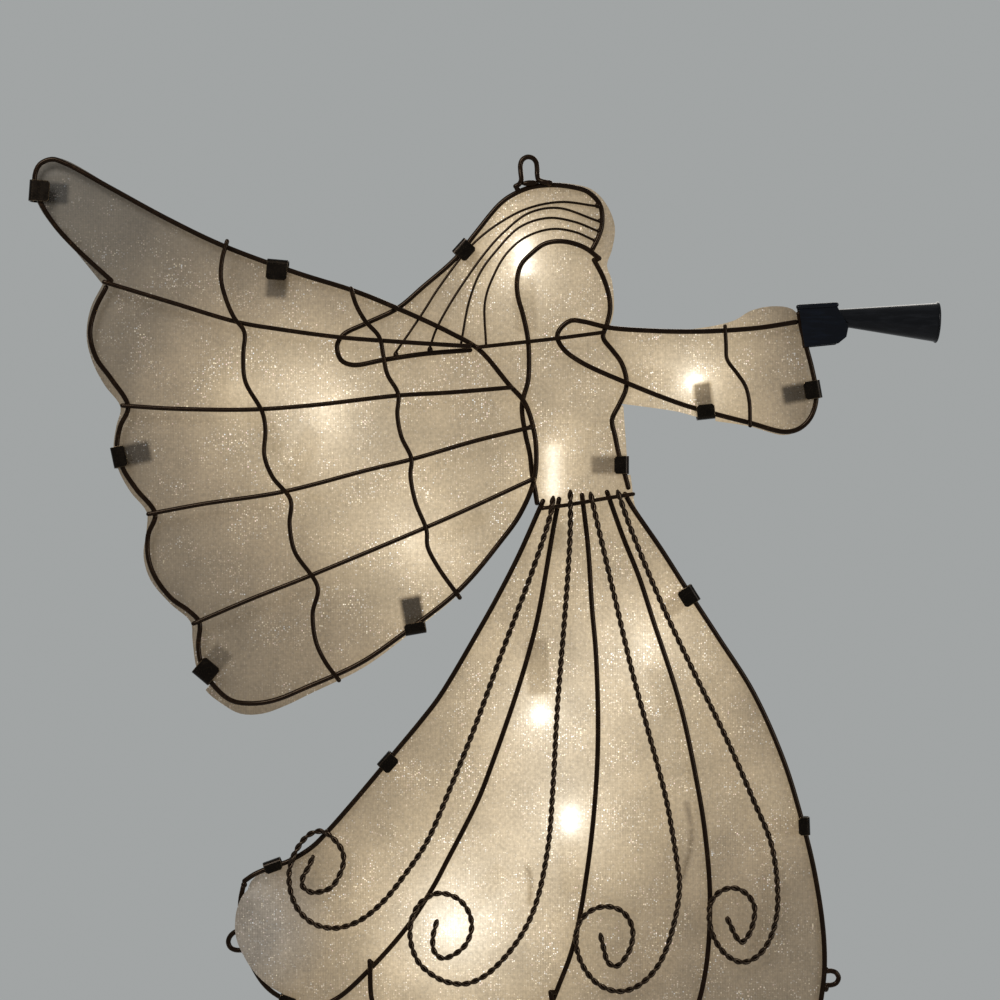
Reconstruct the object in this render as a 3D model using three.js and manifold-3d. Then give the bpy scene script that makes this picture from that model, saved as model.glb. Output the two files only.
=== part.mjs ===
// Lighted wire-frame angel tree topper: a flat frame of welded wires, a sheer mesh clipped behind it,
// and a string of push-in lamps that shines through the mesh from the back.
// Millimetres, +Z up, front towards -Y, origin at the middle of the hanging loop's crown.
import * as THREE from "three";
import { mergeVertices } from "three/addons/utils/BufferGeometryUtils.js";
import Module from "manifold-3d";

const wasm = await Module();
wasm.setup();

// Driving dimensions.
const figureWidth = 363; // wing tip to trumpet bell
const frameWire = 2; // outlines, body wires and skirt ribs
const ribWire = 1.8; // ribs and wavy wires of the wing
const strandWire = 1; // hair strands
const lightWire = 1.6; // waist, shoulder and cuff wires
const scrollWire = 2.4; // outer diameter of the twisted pairs
const weldGap = 0.3; // what neighbouring pieces keep between them
const meshThickness = 0.4;
const overrun = 2; // by which a cut passes its faces

// Steps along the tubes, in pixels of the front view.
const longStep = 27;
const curveStep = 15;
const scrollStep = 10;
const loopStep = 4;

// Depths of the layers. The body's plane holds the origin, and the wing and sleeve lie in front of it.
const bodyDepth = 0;
const outlineDepth = bodyDepth - frameWire - weldGap;
const ribDepth = outlineDepth - frameWire / 2 - weldGap - ribWire / 2;
const waveDepth = ribDepth - ribWire - weldGap;
const waistDepth = bodyDepth - frameWire / 2 - weldGap - lightWire / 2;
const scrollDepth = bodyDepth - frameWire / 2 - weldGap - scrollWire / 2;
const scrollTopLift = waistDepth - lightWire / 2 - weldGap - scrollWire / 2 - scrollDepth;
const cuffDepth = outlineDepth - frameWire / 2 - weldGap - lightWire / 2;
const meshFront = bodyDepth + frameWire / 2 + weldGap;
const meshBack = meshFront + meshThickness;

// Routes are traced in the pixels of the front view. The figure's width sets their scale.
const wingTipPixel = 32;
const bellPixel = 940;
const loopPixel = [527, 157];
const scale = figureWidth / (bellPixel - wingTipPixel);

const materials = {
  wire: { color: 0x2a2420, roughness: 0.32, metalness: 0.9 },
  clip: { color: 0x3a3029, roughness: 0.3, metalness: 0.85 },
  trumpet: { color: 0x161a22, roughness: 0.18, metalness: 0.8 },
  mesh: { color: 0xe6dcc4, roughness: 0.6, metalness: 0 },
  bulb: { color: 0xfff1d0, roughness: 0.1, metalness: 0 },
  holder: { color: 0xd9d6c9, roughness: 0.5, metalness: 0 },
};

const topper = new THREE.Group();

function add(name, geometry, material) {
  const mesh = new THREE.Mesh(geometry, new THREE.MeshStandardMaterial(materials[material]));
  mesh.name = name;
  topper.add(mesh);
  return mesh;
}

// A pixel of the front view as a point at a depth.
function place([px, py], depth = 0) {
  return new THREE.Vector3((px - loopPixel[0]) * scale, depth, (loopPixel[1] - py) * scale);
}

// Booleans.
function solid(geometry) {
  const bare = new THREE.BufferGeometry();
  bare.setAttribute("position", geometry.getAttribute("position"));
  if (geometry.index) bare.setIndex(geometry.index);
  const merged = mergeVertices(bare, 1e-4);
  return new wasm.Manifold(
    new wasm.Mesh({
      numProp: 3,
      vertProperties: new Float32Array(merged.getAttribute("position").array),
      triVerts: new Uint32Array(merged.index.array),
    }),
  );
}

function geometryOf(manifold) {
  const mesh = manifold.getMesh();
  const geometry = new THREE.BufferGeometry();
  geometry.setAttribute("position", new THREE.BufferAttribute(mesh.vertProperties, 3));
  geometry.setIndex(new THREE.BufferAttribute(mesh.triVerts, 1));
  geometry.computeVertexNormals();
  return geometry;
}

function joined(solids) {
  return solids.reduce((whole, next) => whole.add(next));
}

function block(low, high) {
  const size = new THREE.Vector3().subVectors(high, low);
  const centre = new THREE.Vector3().addVectors(low, high).multiplyScalar(1 / 2);
  return new THREE.BoxGeometry(size.x, size.y, size.z).translate(centre.x, centre.y, centre.z);
}

// A round section as a polygon.
function section(diameter, sides) {
  const shape = new THREE.Shape();
  for (let i = 0; i < sides; i += 1) {
    const turn = (2 * Math.PI * (i + 1 / 2)) / sides;
    const point = [(diameter / 2) * Math.cos(turn), (diameter / 2) * Math.sin(turn)];
    if (i) shape.lineTo(...point);
    else shape.moveTo(...point);
  }
  shape.closePath();
  return shape;
}

// A tube along points, with a step about every so many pixels.
function tube(points, diameter, step, sides) {
  const path = new THREE.CatmullRomCurve3(points, false, "centripetal");
  const steps = Math.max(2, Math.ceil(path.getLength() / scale / step));
  return new THREE.ExtrudeGeometry(section(diameter, sides), {
    steps,
    extrudePath: path,
  });
}

// How far a point of a route is lifted off its layer, over a stretch from one end.
function lifted(points, lift, stretch) {
  const end = lift.atEnd ? points.at(-1) : points[0];
  const start = end.clone();
  for (const point of points) {
    const near = Math.max(0, 1 - point.distanceTo(start) / stretch);
    point.y += lift.by * Math.min(1, 2 * near);
  }
  return points;
}

function wire(name, pixels, options = {}) {
  const { diameter = frameWire, depth = bodyDepth, step = curveStep, sides = 6 } = options;
  const points = pixels.map((pixel) => place(pixel, depth));
  if (options.lift) lifted(points, options.lift, options.lift.over);
  add(name, tube(points, diameter, step, sides), options.material ?? "wire");
}

// Wing.
const wingOutlinePixels = [
  [112, 281], [76, 248], [56, 226], [43, 206], [37, 191], [36, 176], [41, 165], [53, 160],
  [66, 164], [112, 189], [167, 219], [223, 246], [296, 273], [356, 292], [398, 309],
  [450, 333], [479, 350], [509, 385], [524, 402], [532, 423], [536, 448], [534, 480],
  [520, 514], [500, 542], [460, 589], [400, 636], [360, 663], [309, 686], [274, 700],
  [251, 703], [232, 700], [216, 687], [203, 667], [199, 646], [200, 622],
  [190, 611], [172, 598], [156, 577], [149, 557], [149, 535], [156, 514],
  [137, 489], [124, 469], [118, 448], [121, 427], [129, 407],
  [112, 379], [97, 358], [91, 334], [96, 310], [107, 288],
];
const wingRibPixels = [
  [[106, 283], [175, 304], [239, 323], [280, 330], [340, 338], [391, 342], [470, 347]],
  [[124, 406], [172, 409], [251, 410], [310, 406], [399, 396], [450, 393], [511, 388]],
  [[150, 514], [204, 504], [283, 492], [369, 470], [414, 459], [476, 441], [529, 428]],
  [[195, 623], [251, 599], [307, 577], [420, 530], [468, 509], [533, 479]],
];
const wingWavePixels = [
  [
    [229, 243], [224, 261], [223, 281], [228, 301], [236, 319], [246, 333], [245, 356],
    [247, 382], [264, 413], [267, 430], [266, 456], [274, 477], [292, 500], [291, 524],
    [296, 551], [319, 587], [314, 612], [317, 640], [326, 660], [340, 679],
  ],
  [
    [352, 290], [357, 306], [366, 322], [380, 338], [384, 356], [388, 375], [399, 395],
    [398, 415], [402, 437], [412, 459], [411, 475], [416, 502], [427, 530], [428, 546],
    [438, 566], [460, 597],
  ],
];

function makeWing() {
  wire("wing_outline", wingOutlinePixels, { depth: outlineDepth });
  wingRibPixels.forEach((pixels, i) => {
    wire(`wing_rib_${i + 1}`, pixels, { diameter: ribWire, depth: ribDepth, step: longStep });
  });
  wingWavePixels.forEach((pixels, i) => {
    wire(`wing_wavy_wire_${i + 1}`, pixels, { diameter: ribWire, depth: waveDepth });
  });
}

// Head, hair and body.
const hairOutlinePixels = [
  [592, 250], [598, 238], [602, 224], [600, 205], [588, 192], [572, 187], [552, 185],
  [532, 187], [516, 193], [501, 203], [475, 234], [456, 258], [423, 287], [398, 308],
  [367, 323], [343, 335], [337, 346], [341, 360], [353, 365], [383, 360], [423, 354],
  [470, 350],
];
const hairStrandPixels = [
  [[595.6, 206], [561, 202], [529, 208], [501, 222], [472, 245], [440, 286], [420, 317], [396, 352]],
  [[598, 221], [558, 208], [529, 213], [504, 232], [485, 253], [453, 299], [436, 330], [430, 347]],
  [[597.5, 231], [575, 222], [548, 218], [520, 227], [496, 251], [480, 273], [469, 302], [461, 344]],
  [[593.5, 240], [575, 232], [552, 229], [526, 237], [507, 253], [493, 277], [485, 302], [486, 345]],
];
const faceWirePixels = [
  [599, 259], [584, 248], [563, 242], [545, 244], [531, 254], [521, 265], [517, 281], [518, 297],
  [523, 315], [528, 340], [529, 364], [528, 381], [522, 405], [525, 432], [530, 455],
  [532, 474], [535, 490], [537, 503],
];
const profileWirePixels = [
  [594, 260], [603, 277], [609, 296], [610, 310], [607, 324], [603, 337], [613, 351],
  [621, 362], [626, 377], [626, 389], [619, 405], [612, 420], [615, 436], [619, 455],
  [625, 475], [628.3, 487.5],
];
const shoulderBarPixels = [[477, 348], [523, 343], [558, 339], [604, 333]];
const waistPixels = [[544, 508], [567, 505], [602, 499], [633, 494]];

const browLiftStretch = 30; // of the face wire's start that runs in front of the hair
const browLift = { by: outlineDepth, over: browLiftStretch };

function makeBody() {
  wire("hair_outline", hairOutlinePixels);
  hairStrandPixels.forEach((pixels, i) => {
    wire(`hair_strand_${i + 1}`, pixels, { diameter: strandWire, step: longStep });
  });
  wire("face_and_back_wire", faceWirePixels, { lift: browLift });
  wire("profile_and_chest_wire", profileWirePixels);
  wire("shoulder_bar", shoulderBarPixels, {
    diameter: lightWire,
    depth: cuffDepth,
    step: longStep,
  });
  wire("waist_wire", waistPixels, { diameter: lightWire, depth: waistDepth, step: longStep });
}

// Sleeve.
const sleevePixels = [
  [795, 322.5], [760, 328], [723, 331], [690, 332], [647, 331], [609, 328], [583, 322],
  [571, 321], [561, 328], [557, 337], [563, 349], [580, 362], [626, 383], [680, 404],
  [714, 414], [749, 423], [784, 432], [798, 429], [809, 419], [815, 403], [815, 389],
  [811, 368], [806, 349], [801, 330], [798, 314],
];
const cuffPixels = [
  [724, 327], [725, 346], [726, 360], [736, 374], [744, 386], [748, 401], [749, 426],
];

function makeSleeve() {
  wire("sleeve_outline", sleevePixels, { depth: outlineDepth });
  wire("cuff_wire", cuffPixels, { diameter: lightWire, depth: cuffDepth });
}

// Skirt: two edges and three ribs, each rib turning into the hem of the gore on its left.
const skirtLeftPixels = [
  [543, 501], [518, 557], [497, 598], [478, 632], [440, 696], [421, 721], [397, 750],
  [351, 805], [328, 831], [312, 847], [289, 861], [269, 868], [254, 874.5], [244.5, 881],
];
const skirtRibPixels = [
  [
    [559, 499], [554, 525], [538, 616], [529, 652], [516, 695], [492, 764], [478, 800],
    [448, 859], [432, 889], [407, 927], [369, 970], [336, 999], [310, 1008], [282, 998],
    [264, 984], [247, 953], [241, 922], [240.5, 901], [243, 887.5],
  ],
  [
    [582, 495], [588, 547], [592, 608], [596, 655], [598, 735], [595, 800], [587, 872],
    [574, 943], [561, 980], [543, 1018], [505, 1053], [450, 1065], [402, 1046], [374, 1005],
    [370, 960],
  ],
  [
    [607, 492], [623, 537], [639, 577], [653, 620], [680, 704], [697, 783], [705, 833],
    [710, 900], [705, 974], [692, 1018], [660, 1056], [620, 1073], [582, 1060], [557, 1028],
    [550.5, 991],
  ],
];
const skirtRightPixels = [
  [625, 494], [631, 505], [661, 549], [684, 585], [718, 637], [753, 692], [783, 759],
  [801, 817], [815, 875], [824, 941], [823, 986], [813, 1025], [790, 1043], [760, 1046],
  [729, 1034], [712, 1019], [700, 1005],
];
const hemLiftStretch = 40; // of the hem's end that runs in front of the next gore
const scrollLiftStretch = 24; // of each scroll's top that runs in front of the waist
const hemLift = { atEnd: true, by: -frameWire - weldGap, over: hemLiftStretch };
const scrollLift = { by: scrollTopLift, over: scrollLiftStretch };

// Twisted pairs that end in a spiral, the last points inside its turn.
const scrollPixels = [
  [
    [553, 497], [550, 515], [535, 563], [502, 652], [475, 726], [451, 786], [427, 841],
    [407, 871], [383, 901], [359, 920], [336, 927], [315, 923], [299, 909], [291, 890],
    [290, 869], [297, 849], [310, 833.5], [323, 830.5], [335, 839], [342.5, 850], [344, 861],
    [339.5, 875], [332, 886], [322, 890.5], [311, 891], [303, 885], [303.5, 876], [308, 868],
    [313.7, 855.5],
  ],
  [
    [570, 491], [570, 528], [568, 569], [564, 623], [557, 710], [553, 783], [548, 845],
    [536, 902], [523, 931], [504, 957], [484, 975], [466, 982.5], [448, 981], [433, 974],
    [418, 960], [410.5, 938], [412, 918], [421, 901.5], [437, 892.5], [455, 896], [466.5, 907],
    [471.8, 924], [466, 943], [452, 954.5], [442, 957], [434, 949.5], [433, 937], [437, 919.5],
  ],
  [
    [590, 493], [598, 528], [615, 600], [633, 676], [649, 735], [666, 800], [676, 858],
    [679, 880], [677, 906], [665, 950], [652, 972], [634, 986.5], [616, 990], [596, 981.5],
    [580.5, 960.5], [575.8, 938], [579.5, 921], [591, 909.5], [606, 905.5], [620.5, 909.5],
    [629.5, 920], [632.5, 934], [628, 951.5], [616, 965], [608, 961.5], [603.5, 948], [600, 933],
  ],
  [
    [617, 491], [630, 528], [661, 603], [693, 671], [723, 732], [753, 800], [771, 845],
    [777, 899], [774, 924], [766, 944], [754, 957], [741, 961], [726, 954], [714, 938],
    [709, 921], [710, 903], [719, 891], [733, 887], [746, 893], [753.5, 905], [753.5, 917],
    [748.5, 933], [741, 941], [735, 935], [730, 924.5], [726.5, 917],
  ],
];

function makeSkirt() {
  wire("skirt_edge_left", skirtLeftPixels, { step: longStep });
  skirtRibPixels.forEach((pixels, i) => {
    wire(`skirt_rib_${i + 1}`, pixels, { step: longStep, lift: i ? hemLift : undefined });
  });
  wire("skirt_edge_right", skirtRightPixels, { step: longStep, lift: hemLift });
  scrollPixels.forEach((pixels, i) => {
    wire(`scroll_wire_${i + 1}`, pixels, {
      diameter: scrollWire,
      depth: scrollDepth,
      step: scrollStep,
      lift: scrollLift,
    });
  });
}

// Hanging loop whose feet lie on the hair wire, and the two tie-down loops bent sideways on the hem.
// Each point of the loop has the share of its step forward onto the hair wire's front.
const loopPixels = [
  [515.5, 187, 1], [519, 185, 1], [521.2, 180.5, 0.6], [520.6, 172, 0.1], [520.4, 165, 0],
  [522.2, 160, 0], [527, 157, 0], [532.5, 158, 0], [536, 162, 0], [537, 168, 0], [537.2, 175, 0.1],
  [538.4, 180, 0.6], [543, 182.5, 1], [550, 183.5, 1],
];
const hemLoopPixels = {
  left: [
    [239.2, 930.6], [234.5, 932.2], [230, 936.5], [228.3, 942], [230.3, 947.2], [235, 949.8],
    [242, 950.2],
  ],
  right: [
    [826.9, 971.2], [831, 970.9], [835.8, 972.6], [838.6, 977.8], [836.2, 983], [831.5, 985],
    [826.7, 985.2],
  ],
};

function makeLoop() {
  const points = loopPixels.map(([px, py, forward]) => place([px, py], forward * outlineDepth));
  add("hanging_loop", tube(points, frameWire, loopStep, 8), "wire");
}

function makeHemLoops() {
  Object.entries(hemLoopPixels).forEach(([side, pixels]) =>
    wire(`hem_loop_${side}`, pixels, { step: loopStep, sides: 8 }),
  );
}

// Trumpet: a thin cone held in a folded sheet bracket that wraps the sleeve's end.
const hornNeckPixel = [804.5, 316.5];
const hornMouthPixel = [936.5, 323];
const hornNeckDiameter = 4;
const hornGripDiameter = 7.4; // where it leaves the bracket
const hornMouthDiameter = 16.4;
const hornWall = 0.8;
const bracketPixels = [[797, 308], [834, 306], [846, 328], [844, 338], [836, 344.5], [803, 348]];
const bracketSheet = 0.6;
const bracketRoll = 2; // diameter of the rolled top edge
const bracketLap = 3.6; // of mesh behind the bracket's narrow end

// Turns a piece made along +Y into a direction of the front view, and puts its start at a point.
function aim(geometry, from, to) {
  const direction = new THREE.Vector3().subVectors(to, from).normalize();
  const turn = new THREE.Quaternion().setFromUnitVectors(new THREE.Vector3(0, 1, 0), direction);
  return geometry.applyQuaternion(turn).translate(from.x, from.y, from.z);
}

function lathe(profile, sides) {
  return new THREE.LatheGeometry(profile.map(([r, h]) => new THREE.Vector2(r, h)), sides);
}

function makeHorn() {
  const from = place(hornNeckPixel, outlineDepth);
  const to = place(hornMouthPixel, outlineDepth);
  const length = from.distanceTo(to);
  const grip = place(bracketPixels[2]).x - from.x;
  const neck = hornNeckDiameter / 2;
  const waist = hornGripDiameter / 2;
  const mouth = hornMouthDiameter / 2;
  const profile = [
    [0, 0],
    [neck, 0],
    [waist, grip],
    [mouth, length],
    [mouth - hornWall, length],
    [waist - hornWall, grip],
    [neck - hornWall, grip / 2],
    [0, grip / 2],
  ];
  add("trumpet_horn", aim(lathe(profile, 24), from, to), "trumpet");
}

// A flat piece in the plane of the front view, from one depth backwards.
function plate(pixels, front, thickness) {
  const corners = pixels.map((pixel) => place(pixel));
  const shape = new THREE.Shape(corners.map(({ x, z }) => new THREE.Vector2(x, z)));
  const geometry = new THREE.ExtrudeGeometry(shape, { depth: thickness, bevelEnabled: false });
  return geometry.rotateX(Math.PI / 2).translate(0, front + thickness, 0);
}

// The bracket's two cheeks open with the horn's cone and meet in a lid along the top.
function makeBracket() {
  const left = place(bracketPixels[0]);
  const top = place(bracketPixels[1]);
  const right = place(bracketPixels[2]);
  const narrow = hornNeckDiameter / 2 + weldGap;
  const wide = hornGripDiameter / 2 + 2 * weldGap;
  const slope = Math.atan((wide - narrow) / (right.x - left.x));
  const cheek = (side) => {
    const flat = plate(bracketPixels, -bracketSheet / 2, bracketSheet).translate(-left.x, 0, 0);
    const turned = flat.rotateZ(side * slope);
    return turned.translate(left.x, side * (narrow + bracketSheet / 2), 0);
  };
  const spread = narrow + (top.x - left.x) * Math.tan(slope);
  const lid = new THREE.ExtrudeGeometry(
    new THREE.Shape([
      new THREE.Vector2(left.x, -narrow - bracketSheet / 2),
      new THREE.Vector2(top.x, -spread - bracketSheet / 2),
      new THREE.Vector2(top.x, spread + bracketSheet / 2),
      new THREE.Vector2(left.x, narrow + bracketSheet / 2),
    ]),
    { depth: bracketSheet, bevelEnabled: false },
  );
  lid.translate(0, 0, left.z - bracketSheet);
  const rollStart = new THREE.Vector3(left.x, -narrow - bracketSheet / 2, left.z);
  const rollEnd = new THREE.Vector3(top.x, -spread - bracketSheet / 2, top.z);
  const rollLength = rollStart.distanceTo(rollEnd);
  const roll = new THREE.CylinderGeometry(bracketRoll / 2, bracketRoll / 2, rollLength, 8);
  roll.translate(0, rollLength / 2, 0);
  const pieces = [cheek(-1), cheek(1), lid, aim(roll, rollStart, rollEnd)];
  const whole = geometryOf(joined(pieces.map(solid)));
  add("trumpet_bracket", whole.translate(0, outlineDepth, 0), "trumpet");
}

// Clips: a strip folded over the wire, its square face in front and its longer tab behind the mesh.
const clipSheet = 0.6;
const narrowClip = 7.2; // widths along the wire
const wideClip = 8.4;
const clipReach = 2.8; // from the wire's middle to the fold's outside
const longFace = 8.4; // lengths from the fold to the front's end
const squareFace = 7;
const shortFace = 6;
const lipFace = 4.8;
const clipTab = 15; // from the fold to the end of the tab behind the mesh
const wingClip = { depth: outlineDepth, width: wideClip };
const sleeveClip = { depth: outlineDepth, width: narrowClip };
const bodyClip = { depth: bodyDepth, width: narrowClip };
// Each clip has the pixel of its wire and the turn of its tab in the front view.
const clips = [
  { name: "wing_clip_tip", at: [37.3, 191.5], turn: -4, ...wingClip, face: longFace },
  { name: "wing_clip_top", at: [278, 267], turn: -95, ...wingClip, face: longFace },
  { name: "wing_clip_edge", at: [120, 457], turn: 12, ...wingClip, face: shortFace },
  { name: "wing_clip_corner", at: [205, 673], turn: 50, ...wingClip, face: longFace },
  { name: "wing_clip_bottom", at: [415.2, 627.2], turn: 100, ...wingClip, face: lipFace },
  { name: "hair_clip", at: [463, 249], turn: -42, ...bodyClip, face: squareFace },
  { name: "chest_clip", at: [622, 465], turn: 180, ...bodyClip, face: shortFace },
  { name: "sleeve_clip_bottom", at: [705.2, 412.6], turn: 96, ...sleeveClip, face: shortFace },
  { name: "sleeve_clip_end", at: [813.3, 390], turn: 190, ...sleeveClip, face: squareFace },
  { name: "skirt_clip_left", at: [388, 762], turn: -42, ...bodyClip, face: shortFace },
  { name: "skirt_clip_corner", at: [273.5, 866.5], turn: -70, ...bodyClip, face: lipFace },
  { name: "skirt_clip_hip", at: [690, 595], turn: 212, ...bodyClip, face: squareFace },
  { name: "skirt_clip_right", at: [803, 826], turn: 182, ...bodyClip, face: lipFace },
];

// Puts a piece made with X along the tab, Y backwards and Z along the wire into its clip's place.
function clipPlace(geometry, { at, turn }) {
  const centre = place(at);
  geometry.rotateY(-THREE.MathUtils.degToRad(turn));
  return geometry.translate(centre.x, 0, centre.z);
}

function clipGeometry(clip) {
  const face = clip.depth - frameWire / 2 - weldGap;
  const tab = meshBack + weldGap;
  const fold = -clipReach;
  const outline = [
    [fold, face - clipSheet], [fold + clip.face, face - clipSheet], [fold + clip.face, face],
    [fold + clipSheet, face], [fold + clipSheet, tab], [fold + clipTab, tab],
    [fold + clipTab, tab + clipSheet], [fold, tab + clipSheet],
  ];
  const shape = new THREE.Shape(outline.map(([u, y]) => new THREE.Vector2(u, y)));
  const strip = new THREE.ExtrudeGeometry(shape, { depth: clip.width, bevelEnabled: false });
  return clipPlace(strip.translate(0, 0, -clip.width / 2), clip);
}

// The room that a clip's fold needs through the mesh's edge.
function clipRoom(clip) {
  const half = clip.width / 2 + weldGap;
  const inner = -clipReach + clipSheet + weldGap;
  const low = new THREE.Vector3(inner - longFace, meshFront - overrun, -half);
  const high = new THREE.Vector3(inner, meshBack + overrun, half);
  return clipPlace(block(low, high), clip);
}

function makeClips() {
  clips.forEach((clip) => add(clip.name, clipGeometry(clip), "clip"));
}

// Mesh panels, side by side in one plane behind the wires.
const meshPixels = {
  wing_mesh: [
    [53, 157], [66, 160], [112, 186], [167, 216], [223, 243], [296, 270], [356, 289],
    [398, 309.9], [449.8, 333.4], [478.6, 350.4], [508.6, 385.4], [523.6, 402.2], [531.6, 423],
    [535.5, 448], [534, 480], [519.5, 514], [501, 543], [463, 590], [403, 639], [363, 668],
    [310, 694], [285, 706], [262, 714], [240, 714], [220, 703], [205, 690], [196, 668],
    [192, 640], [190, 622], [170, 604], [150, 580], [143, 556], [146, 530], [146, 512],
    [130, 492], [118, 470], [113, 448], [116, 425], [120, 407], [104, 385], [92, 362],
    [86, 336], [90, 308], [102, 284], [74, 250], [52, 226], [39, 207], [33, 191], [33, 174],
    [39, 162],
  ],
  body_mesh: [
    [402, 306], [423, 284], [456, 255], [475, 231], [501, 200], [516, 190], [532, 184],
    [552, 182], [575, 184], [592, 189], [606, 203], [615, 226], [612, 250], [607, 265],
    [612, 280], [614, 310], [610.5, 324], [602.6, 337], [612.5, 351.3], [620.5, 362.3],
    [625.4, 377], [625.6, 389], [619.2, 404.2], [623.5, 405.5], [624.5, 420], [626, 440],
    [627.5, 460], [631, 477], [633, 493], [602, 498.4], [567, 504.2], [541, 507], [534.9, 480],
    [536.5, 448], [532.5, 422.8], [524.4, 401.6], [509.5, 384.6], [479.5, 349.5], [450.3, 332.4],
    [405, 310.8],
  ],
  sleeve_mesh: [
    [603.6, 336.9], [610, 326.2], [647, 328], [690, 329], [735, 320], [750, 311], [772, 306],
    [793, 309], [803, 322], [809, 349], [814, 368], [818, 389], [817, 405], [811, 421], [799, 431],
    [784, 435], [749, 426], [705, 419], [680, 412], [655, 408], [621, 403.5], [626.6, 389],
    [626.4, 377], [621.4, 361.6], [613.4, 350.6],
  ],
  skirt_mesh: [
    [541, 508.3], [516, 556], [495, 597], [476, 631], [438, 695], [419, 720], [395, 749],
    [349, 804], [326, 830], [310, 846], [288, 859.5], [267, 868.5], [256, 876.5],
    [251, 881.5], [248.7, 886], [248, 889.5], [243.5, 894], [239.5, 902], [236.5, 912],
    [235.5, 930], [238, 942], [243, 953], [252, 968], [263, 980], [272, 987.5],
    [282, 994], [296, 1005], [312, 1011], [338, 1007], [366, 1004],
    [371, 1006], [400, 1049], [450, 1068], [507, 1056], [543, 1023], [553, 1030],
    [580, 1063], [620, 1076], [662, 1059], [694, 1020], [707, 1006], [727, 1037],
    [760, 1049], [792, 1046], [815, 1027], [826, 986], [827, 941], [818, 875], [804, 817],
    [786, 759], [756, 692], [721, 637], [687, 585], [664, 549], [635, 505],
    [633.6, 494.8], [602, 499.7], [567, 505.5],
  ],
};

function makeMeshes() {
  const roomLow = place([bracketPixels[0][0], bracketPixels[5][1]], meshFront - overrun);
  roomLow.x += bracketLap;
  const roomHigh = place([bracketPixels[2][0], bracketPixels[1][1]], meshBack + overrun);
  const bracketRoom = block(
    roomLow.addScalar(-weldGap),
    roomHigh.addScalar(weldGap + bracketRoll),
  );
  const rooms = [...clips.map(clipRoom), bracketRoom].map(solid);
  Object.entries(meshPixels).forEach(([name, pixels]) => {
    const panel = solid(plate(pixels, meshFront, meshThickness));
    const cut = rooms.reduce((rest, room) => rest.subtract(room), panel);
    add(name, geometryOf(cut), "mesh");
  });
}

// Lamps: push-in bulbs in sockets that lie on the back of the mesh, all on one cord.
const socketLength = 22;
const socketDiameter = 8.8;
const socketTail = 6.2; // diameter where the cord enters
const socketBore = 4.4;
const boreDepth = 9;
const baseClearance = 0.15;
const baseLength = 8;
const collarDiameter = 6.6;
const collarLength = 1.6;
const glassDiameter = 5.4;
const glassLength = 16;
const tipLength = 3;
const cordDiameter = 2.4;
const lampDepth = meshBack + weldGap + socketDiameter / 2;
const cordDepth = lampDepth - socketTail / 2 + weldGap;
// Each lamp has the pixel of its socket's middle, the turn that its bulb points to, and the points
// that the cord passes after it, on its way to the next lamp.
const lamps = [
  { at: [264, 428], turn: 122, then: [] },
  { at: [303, 455], turn: 64, then: [[320, 500], [380, 500], [440, 490]] },
  { at: [458, 527], turn: 200, then: [[508, 500], [527, 450], [530, 390], [529, 350]] },
  { at: [525, 304], turn: 92, then: [[548, 335], [585, 366]] },
  { at: [646, 378], turn: -4, then: [[612, 404], [592, 430], [580, 470], [576, 520]] },
  { at: [553, 522], turn: 90, then: [[534, 580], [530, 615]] },
  { at: [538, 667], turn: -87, then: [[560, 656], [610, 680], [648, 712]] },
  { at: [664, 690], turn: 112, then: [[690, 780], [693, 830], [680, 880], [640, 912], [596, 902]] },
  { at: [570, 868], turn: 90, then: [[555, 922], [536, 918], [527, 885]] },
  { at: [485, 890], turn: 228, then: [] },
];

function lampAxis({ at, turn }) {
  const middle = place(at, lampDepth);
  const angle = THREE.MathUtils.degToRad(turn);
  const direction = new THREE.Vector3(Math.cos(angle), 0, Math.sin(angle));
  const tail = middle.clone().addScaledVector(direction, -socketLength / 2);
  const rim = middle.clone().addScaledVector(direction, socketLength / 2);
  return { tail, rim };
}

function socket(lamp) {
  const { tail, rim } = lampAxis(lamp);
  const profile = [
    [0, 0],
    [socketTail / 2, 0],
    [socketTail / 2, socketLength / 4],
    [socketDiameter / 2, socketLength / 2],
    [socketDiameter / 2, socketLength],
    [socketBore / 2, socketLength],
    [socketBore / 2, socketLength - boreDepth],
    [0, socketLength - boreDepth],
  ];
  return aim(lathe(profile, 12), tail, rim);
}

function bulb(lamp) {
  const { tail, rim } = lampAxis(lamp);
  const base = socketBore / 2 - baseClearance;
  const seat = baseLength;
  const shoulder = seat + collarLength;
  const profile = [
    [0, 0],
    [base, 0],
    [base, seat],
    [collarDiameter / 2, seat],
    [collarDiameter / 2, shoulder],
    [glassDiameter / 2, shoulder],
    [glassDiameter / 2, shoulder + glassLength - tipLength - glassDiameter / 4],
    [glassDiameter / 4, shoulder + glassLength - tipLength],
    [0, shoulder + glassLength],
  ];
  const direction = new THREE.Vector3().subVectors(rim, tail).normalize();
  const start = rim.clone().addScaledVector(direction, weldGap - baseLength);
  return aim(lathe(profile, 10), start, start.clone().add(direction));
}

// The cord's stretch from inside one socket's tail to the next.
function cordStretch(lamp, next) {
  const inside = (which) => {
    const { tail, rim } = lampAxis(which);
    return tail.lerp(rim, cordDiameter / socketLength).setY(cordDepth);
  };
  const route = [inside(lamp), ...lamp.then.map((pixel) => place(pixel, cordDepth)), inside(next)];
  return tube(route, cordDiameter, longStep, 8);
}

function makeLamps() {
  const sockets = lamps.map(socket);
  const cord = lamps.slice(1).map((next, i) => cordStretch(lamps[i], next));
  add("lamp_string", geometryOf(joined([...sockets, ...cord].map(solid))), "holder");
  lamps.forEach((lamp, i) => add(`bulb_${i + 1}`, bulb(lamp), "bulb"));
}

makeWing();
makeBody();
makeSleeve();
makeSkirt();
makeLoop();
makeHemLoops();
makeHorn();
makeBracket();
makeClips();
makeMeshes();
makeLamps();

export default topper;
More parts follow.
